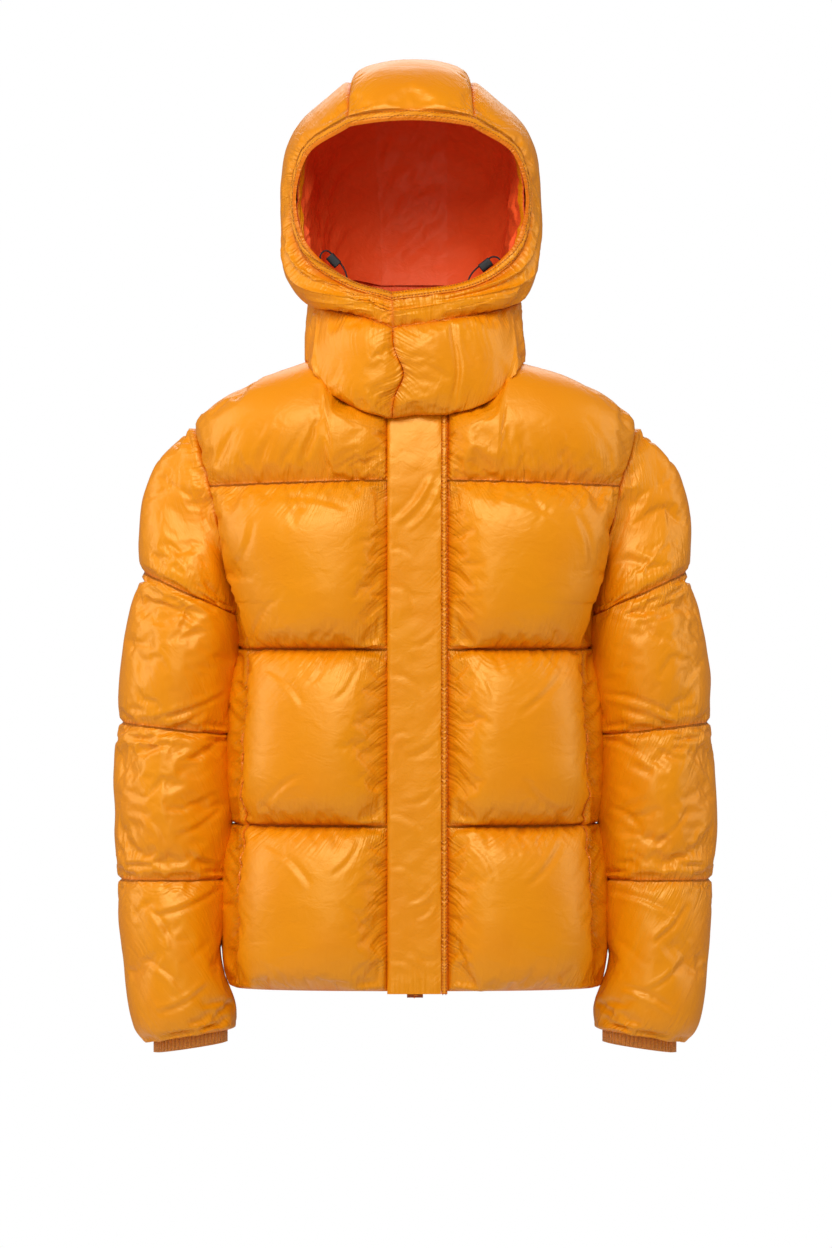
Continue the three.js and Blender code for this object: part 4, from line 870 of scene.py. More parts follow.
def blow_up(panels, slack):
    """Blender's Cloth on the outer sheet of each panel, held at the seams. Returns the points."""
    starts = [p["base"] + p["normal"] * (p["out"] + p["puff"] * 0.94)[..., None] for p in panels]
    objects = []
    for p, points in zip(panels, starts):
        rows, columns = points.shape[:2]
        mesh = bpy.data.meshes.new(p["name"] + "_sim")
        faces = grid_faces(rows, columns, p["around"])
        flat = points.reshape(-1, 3) * MM
        check = np.array(faces[len(faces) // 2])
        facing = np.cross(flat[check[1]] - flat[check[0]], flat[check[2]] - flat[check[0]])
        if facing @ p["normal"].reshape(-1, 3)[check[0]] < 0:
            faces = [f[::-1] for f in faces]
        mesh.from_pydata(flat.tolist(), [], faces)
        obj = link(p["name"] + "_sim", mesh)
        held = obj.vertex_groups.new(name="held")
        held.add(np.flatnonzero(p["pin"].ravel()).tolist(), 1.0, "REPLACE")
        cloth = obj.modifiers.new("Cloth", "CLOTH")
        for name, value in NYLON.items():
            setattr(cloth.settings, name, value)
        cloth.settings.shrink_min = cloth.settings.shrink_max = -slack
        cloth.settings.effector_weights.gravity = 0
        cloth.collision_settings.use_collision = False
        cloth.point_cache.frame_start = 1
        cloth.point_cache.frame_end = SIM_FRAMES
        objects.append(obj)
    scene = bpy.context.scene
    scene.frame_start, scene.frame_end = 1, SIM_FRAMES
    for number in range(1, SIM_FRAMES + 1):
        scene.frame_set(number)
    depsgraph = bpy.context.evaluated_depsgraph_get()
    results = []
    for p, points, obj in zip(panels, starts, objects):
        shape = obj.evaluated_get(depsgraph).to_mesh()
        flat = np.empty(len(shape.vertices) * 3)
        shape.vertices.foreach_get("co", flat)
        moved = flat.reshape(points.shape) / MM - points
        if not np.isfinite(moved).all():
            raise RuntimeError(f"the cloth of {p['name']} didn't settle")
        cap = p["cap"]
        length = np.linalg.norm(moved, axis=-1, keepdims=True)
        moved *= cap * np.tanh(length / cap) / np.maximum(length, 1e-9)
        results.append(points + moved)
    for obj in objects:
        mesh = obj.data
        bpy.data.objects.remove(obj)
        bpy.data.meshes.remove(mesh)
    scene.frame_set(1)
    return results


# Creases listed for what faces the front: from x, z to x, z, width, depth (less than 0 is a ridge)
FRONT_CREASES = [
    (-150, -108, -70, -122, 7, 1.3), (95, -108, 160, -138, 7, 1.3), (175, -125, 192, -185, 7, 1.5),
    (-175, -130, -196, -185, 7, 1.5), (-165, -292, -120, -335, 7, 1.6), (165, -292, 112, -345, 7, 1.6),
    (-165, -448, -125, -410, 7, 1.5), (158, -452, 118, -412, 7, 1.4), (-165, -482, -112, -530, 7, 1.6),
    (160, -482, 120, -532, 7, 1.6), (-60, -286, -88, -330, 6, 1.2), (-100, -284, -118, -312, 5, 1.2),
    (58, -480, 88, -522, 6, 1.2), (-58, -478, -92, -520, 6, 1.2), (60, -288, 86, -330, 6, 1.2),
    (-205, -322, -292, -352, 6, 2.2), (-222, -338, -300, -372, 6, 2.0), (-212, -372, -262, -398, 6, 1.8),
    (-300, -392, -262, -378, 6, 1.4), (-212, -448, -262, -478, 6, 1.6), (-300, -452, -272, -486, 6, 1.2),
    (-210, -512, -250, -492, 6, 1.4), (-212, -536, -288, -566, 6, 1.8), (-300, -548, -262, -598, 6, 1.4),
    (-225, -640, -282, -672, 6, 1.8), (-296, -612, -250, -650, 6, 1.4), (205, -322, 292, -350, 6, 2.2),
    (222, -340, 302, -372, 6, 2.0), (212, -374, 262, -400, 6, 1.8), (300, -394, 262, -380, 6, 1.4),
    (300, -448, 262, -486, 6, 1.4), (212, -446, 250, -474, 6, 1.6), (212, -538, 290, -566, 6, 1.8),
    (300, -550, 258, -596, 6, 1.6), (225, -642, 284, -670, 6, 1.8), (298, -610, 252, -648, 6, 1.4),
    (-296, -222, -236, -246, 6, 1.2), (296, -222, 240, -248, 6, 1.2),
]
BACK_CREASES = [
    (-170, -300, -110, -350, 10, 1.8), (150, -440, 90, -400, 10, 1.8), (-120, -500, -60, -545, 10, 1.6),
    (160, -500, 100, -560, 10, 1.8), (30, -100, 70, -150, 9, 1.4), (-90, -240, -150, -215, 9, 1.5),
    (-30, -620, 30, -590, 10, 1.4), (110, -280, 150, -330, 9, 1.6), (-250, -470, -290, -520, 9, 2.0),
    (250, -400, 290, -460, 9, 2.0), (-235, -560, -285, -620, 9, 2.0), (240, -560, 290, -600, 9, 2.0),
    (-60, -20, -30, -60, 9, 1.2), (100, -30, 60, -70, 9, 1.2),
]


def creases(points, lines, facing):
    """Depth of the hand-laid creases at each point; facing is -1 in front and 1 behind."""
    x, y, z = points[..., 0], points[..., 1], points[..., 2]
    depth = np.zeros(x.shape)
    side = smoothstep(5, 30, facing * y)
    for x1, z1, x2, z2, width, deep in lines:
        dx, dz = x2 - x1, z2 - z1
        long = dx * dx + dz * dz
        t = ((x - x1) * dx + (z - z1) * dz) / long
        bent = 5 * np.sin(math.pi * np.clip(t, 0, 1))
        off = ((x - x1) * dz - (z - z1) * dx) / math.sqrt(long) + bent
        ends = np.clip(1 - np.abs(2 * t - 1) ** 4, 0, 1)
        dip = np.exp(-((off / (0.45 * width)) ** 2))
        bank = np.exp(-(((off - width) / (0.6 * width)) ** 2))
        trough = dip - 0.6 * bank
        depth += deep * trough * ends * side
    return depth


def in_rows_and_between(grid, around, end=None):
    """One measure of a panel on its finer grid. end is its value where a closed grid meets itself."""
    if not around:
        return finer(grid[..., None])[..., 0], None
    both = finer(np.hstack([grid, end[:, None]])[..., None])[..., 0]
    return both[:, :-1], both[:, -1]


def woven(u, v, girth, wide, high, seed):
    """Ripple over the cloth that also meets itself round a sleeve."""
    if girth is None:
        return ripple(u / wide, v / high, seed)
    blend = smoothstep(0.75, 1, u / girth)
    return lerp(ripple(u / wide, v / high, seed), ripple((u - girth) / wide, v / high, seed), blend)


def ridged(noise):
    """Sharp ridges with rounded troughs, from smooth noise."""
    return 1 - 2.4 * np.abs(noise) ** 0.8


GATHER_WIDTH, GATHER_LENGTH, CLUMP_WIDTH = 7.0, 60, 26
LEAN_BELOW, LEAN_ABOVE, SIDE_LEAN = 0.85, 0.1, 0.9  # slant of the gathers below, above and beside a seam
ABOVE_DEPTH, REACH_SHARES = 0.5, (1.25, 0.8)  # those above a seam are shallower, and shorter
SLEEVE_FROM, SLEEVE_DEEPER = 205, 1.3  # the listed creases are deeper from here out
HOOD_FOLD, LEAST_WALL = 1.6, 1.2


def finish_panel(p, points, seed):
    """The simulated sheet made finer, gathered along its seams, closed with a plain inside."""
    around, settings = p["around"], bpy.context.scene.jacket_padding
    outer = finer(points, around)
    girth = p["u"][:, -1] + np.linalg.norm(p["base"][:, 0] - p["base"][:, -1], axis=-1)
    u, u_end = in_rows_and_between(p["u"], around, girth)
    v, v_end = in_rows_and_between(p["v"], around, p["v"][:, 0])
    from_rows = np.abs(in_rows_and_between(p["from_rows"], around, p["from_rows"][:, 0])[0])
    from_columns = np.abs(in_rows_and_between(p["from_columns"], around, p["from_columns"][:, 0])[0])
    end = u_end[:, None] if around else None
    normal = grid_normals(outer, around, finer(p["normal"], around))
    nearest = np.minimum(from_rows, from_columns)
    row = np.arange(outer.shape[0])[:, None] / 2
    seams = np.array(p["seams"])
    seam = seams[np.argmin(np.abs(row - seams[None, :]), 1)][:, None]
    hanging = (row < seam) if p["upwards"] else (row > seam)
    side = -np.tanh(outer[..., 0] / 60)
    lean = np.where(hanging, LEAN_BELOW, LEAN_ABOVE) * side * p["slant"]
    slanted = u + lean * (v - v[np.clip(2 * seam[:, 0], 0, len(v) - 1)])
    clump = 0.6 + 0.6 * woven(u, v, end, CLUMP_WIDTH, GATHER_LENGTH, seed + 6)
    strokes = ridged(woven(slanted, v + 40 * seed, end, GATHER_WIDTH, GATHER_LENGTH, seed))
    strokes = strokes * clump * np.where(hanging, 1.0, ABOVE_DEPTH)
    strokes = strokes * np.exp(-from_rows / np.where(hanging, *REACH_SHARES) / settings.reach * MM)
    beside = v + SIDE_LEAN * from_columns
    across = ridged(ripple(beside / GATHER_WIDTH, from_columns / 45 + 5 * seed, seed + 2))
    patches = 0.6 + 0.6 * ripple(v / 30, 0 * v + seed, seed + 7)
    across = across * patches * np.exp(-from_columns / settings.reach * MM)
    sag = woven(u, v, end, 70, 55, seed + 4) * 1.3 + woven(u, v, end, 30, 24, seed + 5) * 0.5
    deep = creases(outer, FRONT_CREASES, -1) + creases(outer, BACK_CREASES, 1)
    if p["name"].startswith(("hood", "neck")):
        t, w = np.meshgrid(np.linspace(0, 1, u.shape[0]), np.linspace(0, 1, u.shape[1]), indexing="ij")
        on_hood = p["name"].startswith("hood_side")
        near = smoothstep(0.35, 0.6, t) * smoothstep(0.75, 0.35, w) * on_hood
        deep = -HOOD_FOLD * ridged(ripple(9 * t + 1.2 * w + seed, 3.2 * w, seed + 8)) * near
    else:
        deep = deep * np.where(np.abs(outer[..., 0]) > SLEEVE_FROM, SLEEVE_DEEPER, 1)
    lift = (strokes + across) * settings.gather_depth / MM + sag * np.clip(nearest / 30, 0, 1) - deep
    lift *= 1 - np.exp(-((nearest / 2.2) ** 2))
    outer = outer + normal * lift[..., None]
    below, up = finer(p["base"], around), unit(finer(p["normal"], around))
    over = np.sum((outer - below) * up, -1, keepdims=True)
    outer += up * np.maximum(0, LEAST_WALL - over)
    stride = (slice(None, None, INNER_STEP // 2), slice(None, None, INNER_STEP // 2))
    inner = (p["base"] - p["normal"] * SHELL_IN)[stride]
    # from_rows and from_columns also set where the finish paints shade along each seam.
    fields = {"from_rows": from_rows, "from_columns": from_columns, "lean": lean / MM}
    closing = np.stack([u_end, v_end], -1) if around else None
    obj = wall_mesh(
        p["name"] + "_padded", outer, inner, around, np.stack([u, v], -1), fields,
        [shell_material(), lining_material()], inside=1, closing=closing,
    )
    stand_for(obj, p["name"])
    return outer


FINISHED = {}


def pad(panels, slack, cap=7.0):
    for p in panels:
        p["cap"] = cap
    for seed, (p, points) in enumerate(zip(panels, blow_up(panels, slack))):
        FINISHED[p["name"]] = (p, finish_panel(p, points, seed + len(FINISHED)))


# Materials


def group_tree(name, inputs, outputs):
    tree = bpy.data.node_groups.new(name, "ShaderNodeTree")
    for label, kind, value in inputs:
        socket = tree.interface.new_socket(label, in_out="INPUT", socket_type=kind)
        if value is not None:
            socket.default_value = value
    for label, kind in outputs:
        tree.interface.new_socket(label, in_out="OUTPUT", socket_type=kind)
    return tree, tree.nodes.new("NodeGroupInput"), tree.nodes.new("NodeGroupOutput")


def put(tree, kind, links=None, **values):
    """A node with its properties and unlinked inputs set, and links made: {input: socket}."""
    node = tree.nodes.new(kind)
    for key, value in values.items():
        if hasattr(node, key):
            setattr(node, key, value)
        else:
            node.inputs[int(key[1:]) if key[1:].isdigit() else key.replace("_", " ")].default_value = value
    for key, socket in (links or {}).items():
        tree.links.new(socket, node.inputs[key])
    return node


def maths(tree, operation, a, b=None):
    node = tree.nodes.new("ShaderNodeMath")
    node.operation = operation
    for i, value in enumerate((a, b)):
        if value is None:
            continue
        if isinstance(value, (int, float)):
            node.inputs[i].default_value = value
        else:
            tree.links.new(value, node.inputs[i])
    return node.outputs[0]


def gathers_and_seam_shade_group():
    """Fine gathers that run away from each seam, over an all-over crinkle. Puts out a height, and a mask for
    painted shade that is 1 on each seam.
    """
    if "Gathers" in bpy.data.node_groups:
        return bpy.data.node_groups["Gathers"]
    tree, inp, out = group_tree(
        "Gathers",
        [("Cloth", "NodeSocketVector", None), ("From Rows", "NodeSocketFloat", 0.4),
         ("From Columns", "NodeSocketFloat", 0.4), ("Lean", "NodeSocketFloat", 0.0),
         ("Gather", "NodeSocketFloat", 1.0), ("Crinkle", "NodeSocketFloat", 0.5)],
        [("Height", "NodeSocketFloat"), ("Seam", "NodeSocketFloat")],
    )

    place = put(tree, "ShaderNodeSeparateXYZ", {0: inp.outputs["Cloth"]})
    leaning = maths(
        tree, "ADD", place.outputs[0], maths(tree, "MULTIPLY", inp.outputs["Lean"], place.outputs[1])
    )
    beside = maths(tree, "ADD", place.outputs[1], maths(tree, "MULTIPLY", inp.outputs["From Columns"], 0.9))
    row_place = put(tree, "ShaderNodeCombineXYZ", {"X": leaning, "Y": place.outputs[1]}).outputs[0]
    column_place = put(
        tree, "ShaderNodeCombineXYZ", {"X": inp.outputs["From Columns"], "Y": beside}
    ).outputs[0]

    def noise(vector, stretch, detail, rough=0.5, distortion=0.0):
        scaled = put(tree, "ShaderNodeVectorMath", {0: vector}, operation="MULTIPLY")
        scaled.inputs[1].default_value = stretch
        node = put(tree, "ShaderNodeTexNoise", {"Vector": scaled.outputs[0]}, Scale=1.0, Detail=detail,
                   Roughness=rough, Distortion=distortion)
        return node.outputs["Fac"]

    def fade(source, reach):
        return maths(tree, "EXPONENT", maths(tree, "MULTIPLY", source, -1 / reach))

    near_rows, near_columns = fade(inp.outputs["From Rows"], 0.02), fade(inp.outputs["From Columns"], 0.013)

    def sharp(value):
        return maths(tree, "MULTIPLY", maths(tree, "ABSOLUTE", maths(tree, "SUBTRACT", value, 0.5)), -3.0)

    rows = maths(tree, "MULTIPLY", sharp(noise(row_place, (150, 12, 1), 1.0)), near_rows)
    columns = maths(tree, "MULTIPLY", sharp(noise(column_place, (12, 150, 1), 1.0)), near_columns)
    gathers = maths(tree, "MULTIPLY", maths(tree, "ADD", rows, columns), inp.outputs["Gather"])
    broad = noise(inp.outputs["Cloth"], (45, 60, 1), 3.0, 0.55, 0.6)
    fine = noise(inp.outputs["Cloth"], (420, 480, 1), 3.0, 0.6, 0.4)
    over = maths(tree, "ADD", broad, maths(tree, "MULTIPLY", fine, 0.12))
    crinkle = maths(tree, "MULTIPLY", over, inp.outputs["Crinkle"])
    tree.links.new(maths(tree, "ADD", gathers, crinkle), out.inputs["Height"])
    # Painted shade: this mask is 1 on each seam and fades within about 2 mm, where the finishes darken the
    # colour.
    seam = maths(
        tree, "MAXIMUM", fade(inp.outputs["From Rows"], 0.0022), fade(inp.outputs["From Columns"], 0.0022)
    )
    tree.links.new(seam, out.inputs["Seam"])
    return tree


MADE = {}


def material(name, build):
    if name not in MADE:
        made = bpy.data.materials.new(name)
        made.use_nodes = True
        tree = made.node_tree
        shader = tree.nodes["Principled BSDF"]
        build(tree, shader)
        MADE[name] = made
    return MADE[name]


def mix_colour(tree, factor, a, b):
    node = tree.nodes.new("ShaderNodeMix")
    node.data_type = "RGBA"
    if isinstance(factor, (int, float)):
        node.inputs[0].default_value = factor
    else:
        tree.links.new(factor, node.inputs[0])
    for index, colour in ((6, a), (7, b)):
        if isinstance(colour, bpy.types.NodeSocket):
            tree.links.new(colour, node.inputs[index])
        else:
            node.inputs[index].default_value = (*colour[:3], 1)
    return node.outputs[2]


# deep is painted shade: it darkens the colour along the seams. It is also mixed in at random as a darker
# tone.
def cloth_material(name, colour, deep, roughness, bump, gather, crinkle, tint, gloss):
    def build(tree, shader):
        uv = put(tree, "ShaderNodeUVMap", uv_map="cloth")
        rows = put(tree, "ShaderNodeAttribute", attribute_name="from_rows")
        columns = put(tree, "ShaderNodeAttribute", attribute_name="from_columns")
        gathers = put(tree, "ShaderNodeGroup", node_tree=gathers_and_seam_shade_group())
        tree.links.new(uv.outputs["UV"], gathers.inputs["Cloth"])
        tree.links.new(rows.outputs["Fac"], gathers.inputs["From Rows"])
        tree.links.new(columns.outputs["Fac"], gathers.inputs["From Columns"])
        lean = put(tree, "ShaderNodeAttribute", attribute_name="lean")
        tree.links.new(lean.outputs["Fac"], gathers.inputs["Lean"])
        gathers.inputs["Gather"].default_value = gather
        gathers.inputs["Crinkle"].default_value = crinkle
        lift = put(tree, "ShaderNodeBump", {"Height": gathers.outputs["Height"]}, Strength=1.0, Distance=bump)
        tree.links.new(lift.outputs[0], shader.inputs["Normal"])
        shade = put(tree, "ShaderNodeTexNoise", {"Vector": uv.outputs["UV"]}, Scale=14.0, Detail=2.0)
        light = maths(tree, "MULTIPLY", maths(tree, "SUBTRACT", shade.outputs["Fac"], 0.35), 0.35)
        # Painted shade along the seams, from the gathers' seam mask. The noise above mixes the same deep
        # colour in at random as tone.
        depth = maths(tree, "MULTIPLY", gathers.outputs["Seam"], 0.75)
        factor = maths(tree, "MAXIMUM", depth, light)
        tree.links.new(mix_colour(tree, factor, colour, deep), shader.inputs["Base Color"])
        rough = maths(tree, "ADD", maths(tree, "MULTIPLY", shade.outputs["Fac"], 0.12), roughness - 0.06)
        tree.links.new(rough, shader.inputs["Roughness"])
        shader.inputs["Specular Tint"].default_value = (*tint, 1)
        shader.inputs["Specular IOR Level"].default_value = gloss

    return material(name, build)


def shell_material():
    c = bpy.context.scene.jacket_colours
    return cloth_material(
        "orange_nylon", c.shell, c.shell_tone_and_seam_shade, 0.39, 0.002, 0.75, 0.5, (1, 0.84, 0.34), 0.85
    )


def lining_material():
    c = bpy.context.scene.jacket_colours
    return cloth_material(
        "red_orange_lining", c.lining, c.lining_tone_and_seam_shade, 0.5, 0.002, 0.5, 0.8, (1, 0.7, 0.5), 0.4
    )


def grained_material(name, texture, output, lift_by, colours, roughness, stretch=None, **values):
    """Two colours mixed by a fine texture in object space that also lifts the surface."""

    def build(tree, shader):
        place = put(tree, "ShaderNodeTexCoord").outputs["Object"]
        if stretch:
            scaled = put(tree, "ShaderNodeVectorMath", {0: place}, operation="MULTIPLY")
            scaled.inputs[1].default_value = stretch
            place = scaled.outputs[0]
        grain = put(tree, texture, {"Vector": place}, **values).outputs[output]
        strength, distance = lift_by
        lift = put(tree, "ShaderNodeBump", {"Height": grain}, Strength=abs(strength), Distance=distance)
        lift.invert = strength < 0
        tree.links.new(lift.outputs[0], shader.inputs["Normal"])
        tree.links.new(mix_colour(tree, grain, *colours), shader.inputs["Base Color"])
        shader.inputs["Roughness"].default_value = roughness

    return material(name, build)


def knit_material():
    knit = bpy.context.scene.jacket_colours.knit
    finish = grained_material(
        "rib_knit", "ShaderNodeTexVoronoi", "Distance", (-0.7, 0.0006),
        (knit, tuple(0.6 * k for k in knit)), 0.85, stretch=(420, 420, 700), Scale=1.0,
    )
    finish.node_tree.nodes["Principled BSDF"].inputs["Sheen Weight"].default_value = 0.3
    return finish


def thread_material():
    thread = bpy.context.scene.jacket_colours.thread
    return grained_material(
        "sewing_thread", "ShaderNodeTexWave", "Fac", (0.5, 0.0002),
        (thread, tuple(0.75 * k for k in thread)), 0.55, Scale=420.0, Distortion=1.0,
    )


def black_material(name, scale, roughness, distance):
    trims = bpy.context.scene.jacket_colours.trims
    return grained_material(
        name, "ShaderNodeTexVoronoi", "Distance", (0.8, distance),
        (trims, tuple(2.5 * k + 0.003 for k in trims)), roughness, Scale=scale,
    )


def zip_material():
    c = bpy.context.scene.jacket_colours
    return grained_material(
        "zip_teeth", "ShaderNodeTexNoise", "Fac", (0.3, 0.0001), (c.shell, c.shell_tone_and_seam_shade), 0.35, Scale=900.0
    )


# Things that repeat along a line


def line_tree(name, inputs):
    """The start of a tree that sets units along a line: its named inputs, ending in a finish."""
    tree = bpy.data.node_groups.new(name, "GeometryNodeTree")
    sockets = {}
    for label, kind, value in (("Geometry", "Geometry", None), *inputs, ("Finish", "Material", None)):
        socket = tree.interface.new_socket(label, in_out="INPUT", socket_type="NodeSocket" + kind)
        if value is not None:
            socket.default_value = value
        sockets[label] = socket.identifier
    tree.interface.new_socket("Geometry", in_out="OUTPUT", socket_type="NodeSocketGeometry")
    return tree, sockets, tree.nodes.new("NodeGroupInput")


def end_tree(tree, inp, points, unit_mesh, rotation):
    """The end of such a tree: the units set on the points, made real, smooth and finished."""
    units = put(
        tree, "GeometryNodeInstanceOnPoints", {"Points": points, "Instance": unit_mesh, "Rotation": rotation}
    )
    real = put(tree, "GeometryNodeRealizeInstances", {0: units.outputs[0]})
    smooth = put(tree, "GeometryNodeSetShadeSmooth", {"Geometry": real.outputs[0]})
    finish = put(tree, "GeometryNodeSetMaterial", {"Geometry": smooth.outputs[0]})
    tree.links.new(inp.outputs["Finish"], finish.inputs["Material"])
    tree.links.new(finish.outputs[0], tree.nodes.new("NodeGroupOutput").inputs[0])


def repeat_tree():
    """Geometry Nodes: a rounded unit set along the lines of a mesh, each turned with its line."""
    tree, sockets, inp = line_tree("Repeat Along", (
        ("Spacing", "Float", 0.003), ("Length", "Float", 0.002), ("Width", "Float", 0.0007),
        ("Upright", "Float", 0.0007), ("Side Step", "Float", 0.0),
    ))
    curve = put(tree, "GeometryNodeMeshToCurve", {"Mesh": inp.outputs["Geometry"]})
    sampled = put(tree, "GeometryNodeResampleCurve", {"Curve": curve.outputs[0]}, mode="LENGTH")
    tree.links.new(inp.outputs["Spacing"], sampled.inputs["Length"])
    index = put(tree, "GeometryNodeInputIndex")
    odd = maths(tree, "MODULO", index.outputs[0], 2)
    step = maths(tree, "MULTIPLY", maths(tree, "SUBTRACT", odd, 0.5), inp.outputs["Side Step"])
    shift = put(tree, "ShaderNodeCombineXYZ", {"X": step})
    moved = put(tree, "GeometryNodeSetPosition", {"Geometry": sampled.outputs[0], "Offset": shift.outputs[0]})
    bead = put(tree, "GeometryNodeMeshIcoSphere", Radius=0.5, Subdivisions=2)
    size = put(
        tree, "ShaderNodeCombineXYZ",
        {"X": inp.outputs["Upright"], "Y": inp.outputs["Width"], "Z": inp.outputs["Length"]},
    )
    shaped = put(tree, "GeometryNodeTransform", {"Geometry": bead.outputs[0], "Scale": size.outputs[0]})
    tangent = put(tree, "GeometryNodeInputTangent")
    along = put(tree, "FunctionNodeAlignRotationToVector", {"Vector": tangent.outputs[0]}, axis="Z")
    turned = put(
        tree, "FunctionNodeAlignRotationToVector", {"Rotation": along.outputs[0]}, axis="X", pivot_axis="Z"
    )
    turned.inputs["Vector"].default_value = (0, 0, 1)
    end_tree(tree, inp, moved.outputs[0], shaped.outputs[0], turned.outputs[0])
    return tree, sockets


def run_tree(name, lines, build_tree, values):
    """The lines' points and edges through the tree, kept as a plain mesh that rides on the root."""
    verts, edges = lines
    mesh = bpy.data.meshes.new(name + "_lines")
    mesh.from_pydata(verts, edges, [])
    holder = link(name + "_lines", mesh)
    if build_tree not in MADE:
        MADE[build_tree] = build_tree()
    tree, sockets = MADE[build_tree]
    nodes = holder.modifiers.new("Nodes", "NODES")
    nodes.node_group = tree
    for label, value in values.items():
        nodes[sockets[label]] = value
    plain = bpy.data.meshes.new_from_object(holder.evaluated_get(bpy.context.evaluated_depsgraph_get()))
    if not len(plain.polygons):
        raise RuntimeError(f"{name} came out empty")
    bpy.data.objects.remove(holder)
    plain.name = name
    obj = link(name, plain)
    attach(obj, "root")
    return obj


def repeat_along(name, runs, spacing, length, width, upright, finish, side_step=0.0):
    """Units along runs, which are lines of points in millimetres."""
    verts, edges = [], []
    for run in runs:
        first = len(verts)
        verts.extend((np.asarray(run) * MM).tolist())
        edges.extend([(i, i + 1) for i in range(first, len(verts) - 1)])
    values = {
        "Spacing": spacing, "Length": length, "Width": width, "Upright": upright, "Side Step": side_step,
        "Finish": finish,
    }
    return run_tree(name, (verts, edges), repeat_tree, values)


# Trims


def between(grid, rows, columns):
    """The grid resampled smoothly to that many rows and columns."""
    r = np.linspace(0, grid.shape[0] - 1, rows)
    c = np.linspace(0, grid.shape[1] - 1, columns)
    tall = spline(np.arange(grid.shape[0]), grid, r)
    return spline(np.arange(grid.shape[1]), tall.transpose(1, 0, 2), c).transpose(1, 0, 2)


def measured(points):
    """u, v and the mean width and length of a grid of points, in millimetres."""
    u, v = column_distance([], points)[1], row_distance([0], points)[1]
    return u, v, (u[:, -1].mean(), v[-1].mean())


def cloth_sheet(node, outer, inner, finish, around=False, loose=False):
    """A thin closed sheet over its solid. inner is a grid as fine as outer, read at each second point."""
    u, v, flat = measured(outer)
    if around:
        flat = (flat[0] + np.linalg.norm(outer[:, 0] - outer[:, -1], axis=-1).mean(), flat[1])
    edge = np.minimum(u, u[:, -1:] - u) if not (around or loose) else u[:, -1:] - u + 20
    # These distances also set where the shell and lining finishes paint shade, along each edge.
    fields = {"from_rows": np.minimum(v, v[-1:] - v) + 8 * loose, "from_columns": edge, "lean": 0 * u}
    closing = None
    if around:
        closing = np.stack([u[:, -1] + np.linalg.norm(outer[:, 0] - outer[:, -1], axis=-1), v[:, 0]], -1)
    obj = wall_mesh(
        node + "_cloth", outer, inner[::2, ::2], around, np.stack([u, v], -1), fields,
        [finish, finish], inside=1, closing=closing,
    )
    stand_for(obj, node)
    return obj


def strip(low, high, columns, drop):
    """Base points and normals of a strip down the centre front, from x low to x high."""
    x = np.linspace(low, high, columns)
    levels = levels_up_to(np.repeat(float(top_level(PLACKET_LEFT, -1)), columns))[:-1]
    rows = 2 * (len(levels) // 2) * 2 + 1
    old, new = np.arange(len(levels)), np.linspace(0, len(levels) - 1, rows)
    levels = np.array([np.interp(new, old, c) for c in levels.T]).T
    base, normal, _ = body_cells(np.broadcast_to(x, levels.shape), levels, -1)
    base[..., 2] -= drop * np.exp(-np.arange(rows) / 2.0)[:, None]
    return base, normal


FLAP_CREASES = [
    (20, -84, -23, -139, 7, -1.7), (26, -100, -10, -146, 6, -1.3), (21, -532, -6, -552, 5, -1.3),
    (24, -548, 2, -570, 5, -1.0), (-26, -300, 10, -322, 7, 1.0), (-27, -205, 0, -222, 7, 0.9),
    (25, -372, -12, -391, 7, 1.0), (-27, -452, 8, -470, 7, 1.0), (24, -255, -8, -271, 6, 0.9),
    (-27, -610, 10, -628, 7, 1.0), (22, -428, -14, -441, 6, 0.8), (-26, -510, -2, -519, 6, 0.8),
    (24, -612, -2, -600, 6, 0.8), (-27, -165, -4, -174, 6, 0.8), (-26, -372, -6, -366, 6, 0.7),
]


def make_flap():
    base, normal = strip(PLACKET_RIGHT, PLACKET_LEFT, 31, 3)
    u, v, _ = measured(base)
    wide = PLACKET_LEFT - PLACKET_RIGHT
    share = u / wide
    edge = np.clip(np.minimum(u, 400) / 4, 0, 1) ** 0.5
    out = SHELL_OUT + SEAM_GAP + 0.5 + (PLACKET_THICK - 0.5) * (0.35 + 0.65 * edge)
    wave = ripple(v / 9.5, u / 26, 3) * np.exp(-np.abs(wide - u) / 9) * 1.5
    wave += ripple(v / 26, u / 30, 4) * 1.0 * (1 - share) + ripple(v / 12, u / 14, 5) * 0.55
    wave = (wave + 0.3) * np.clip((wide - u) / 3, 0.15, 1)
    deep = creases(base, FLAP_CREASES, -1)
    out = np.maximum(out + wave - deep, SHELL_OUT + SEAM_GAP + 1.2)
    outer = base + normal * out[..., None]
    inner = base + normal * (SHELL_OUT + SEAM_GAP)
    cloth_sheet("placket", outer, inner, shell_material(), loose=True)
    base, normal = strip(BAND_RIGHT, BAND_LEFT, 9, 3)
    u, v, _ = measured(base)
    wide = BAND_LEFT - BAND_RIGHT
    swell = dome(np.clip(u / wide, 0.04, 0.96), 2.6, 2)
    out = SHELL_OUT + SEAM_GAP + 1.4 + (BAND_THICK - 1.4) * swell + ripple(v / 6, u / 9, 6) * 0.5
    outer = base + normal * out[..., None]
    inner = base + normal * (SHELL_OUT + SEAM_GAP)
    cloth_sheet("placket_band", outer, inner, shell_material())
    return [(outer[:, 2] + 0.15 * normal[:, 2]), (outer[:, 6] + 0.15 * normal[:, 6])]


def make_zip():
    base, normal = strip(-ZIP_HALF + SEAM_GAP, ZIP_HALF - SEAM_GAP, 9, 7)
    outer, inner = base + normal * 1.0, base - normal * SHELL_IN
    cloth_sheet("zip", outer, inner, thread_material())
    teeth = base[:, 4] + 1.3 * normal[:, 4]
    repeat_along("zip_teeth", [teeth], 0.0026, 0.0014, 0.0055, 0.0018, zip_material(), side_step=0.0016)


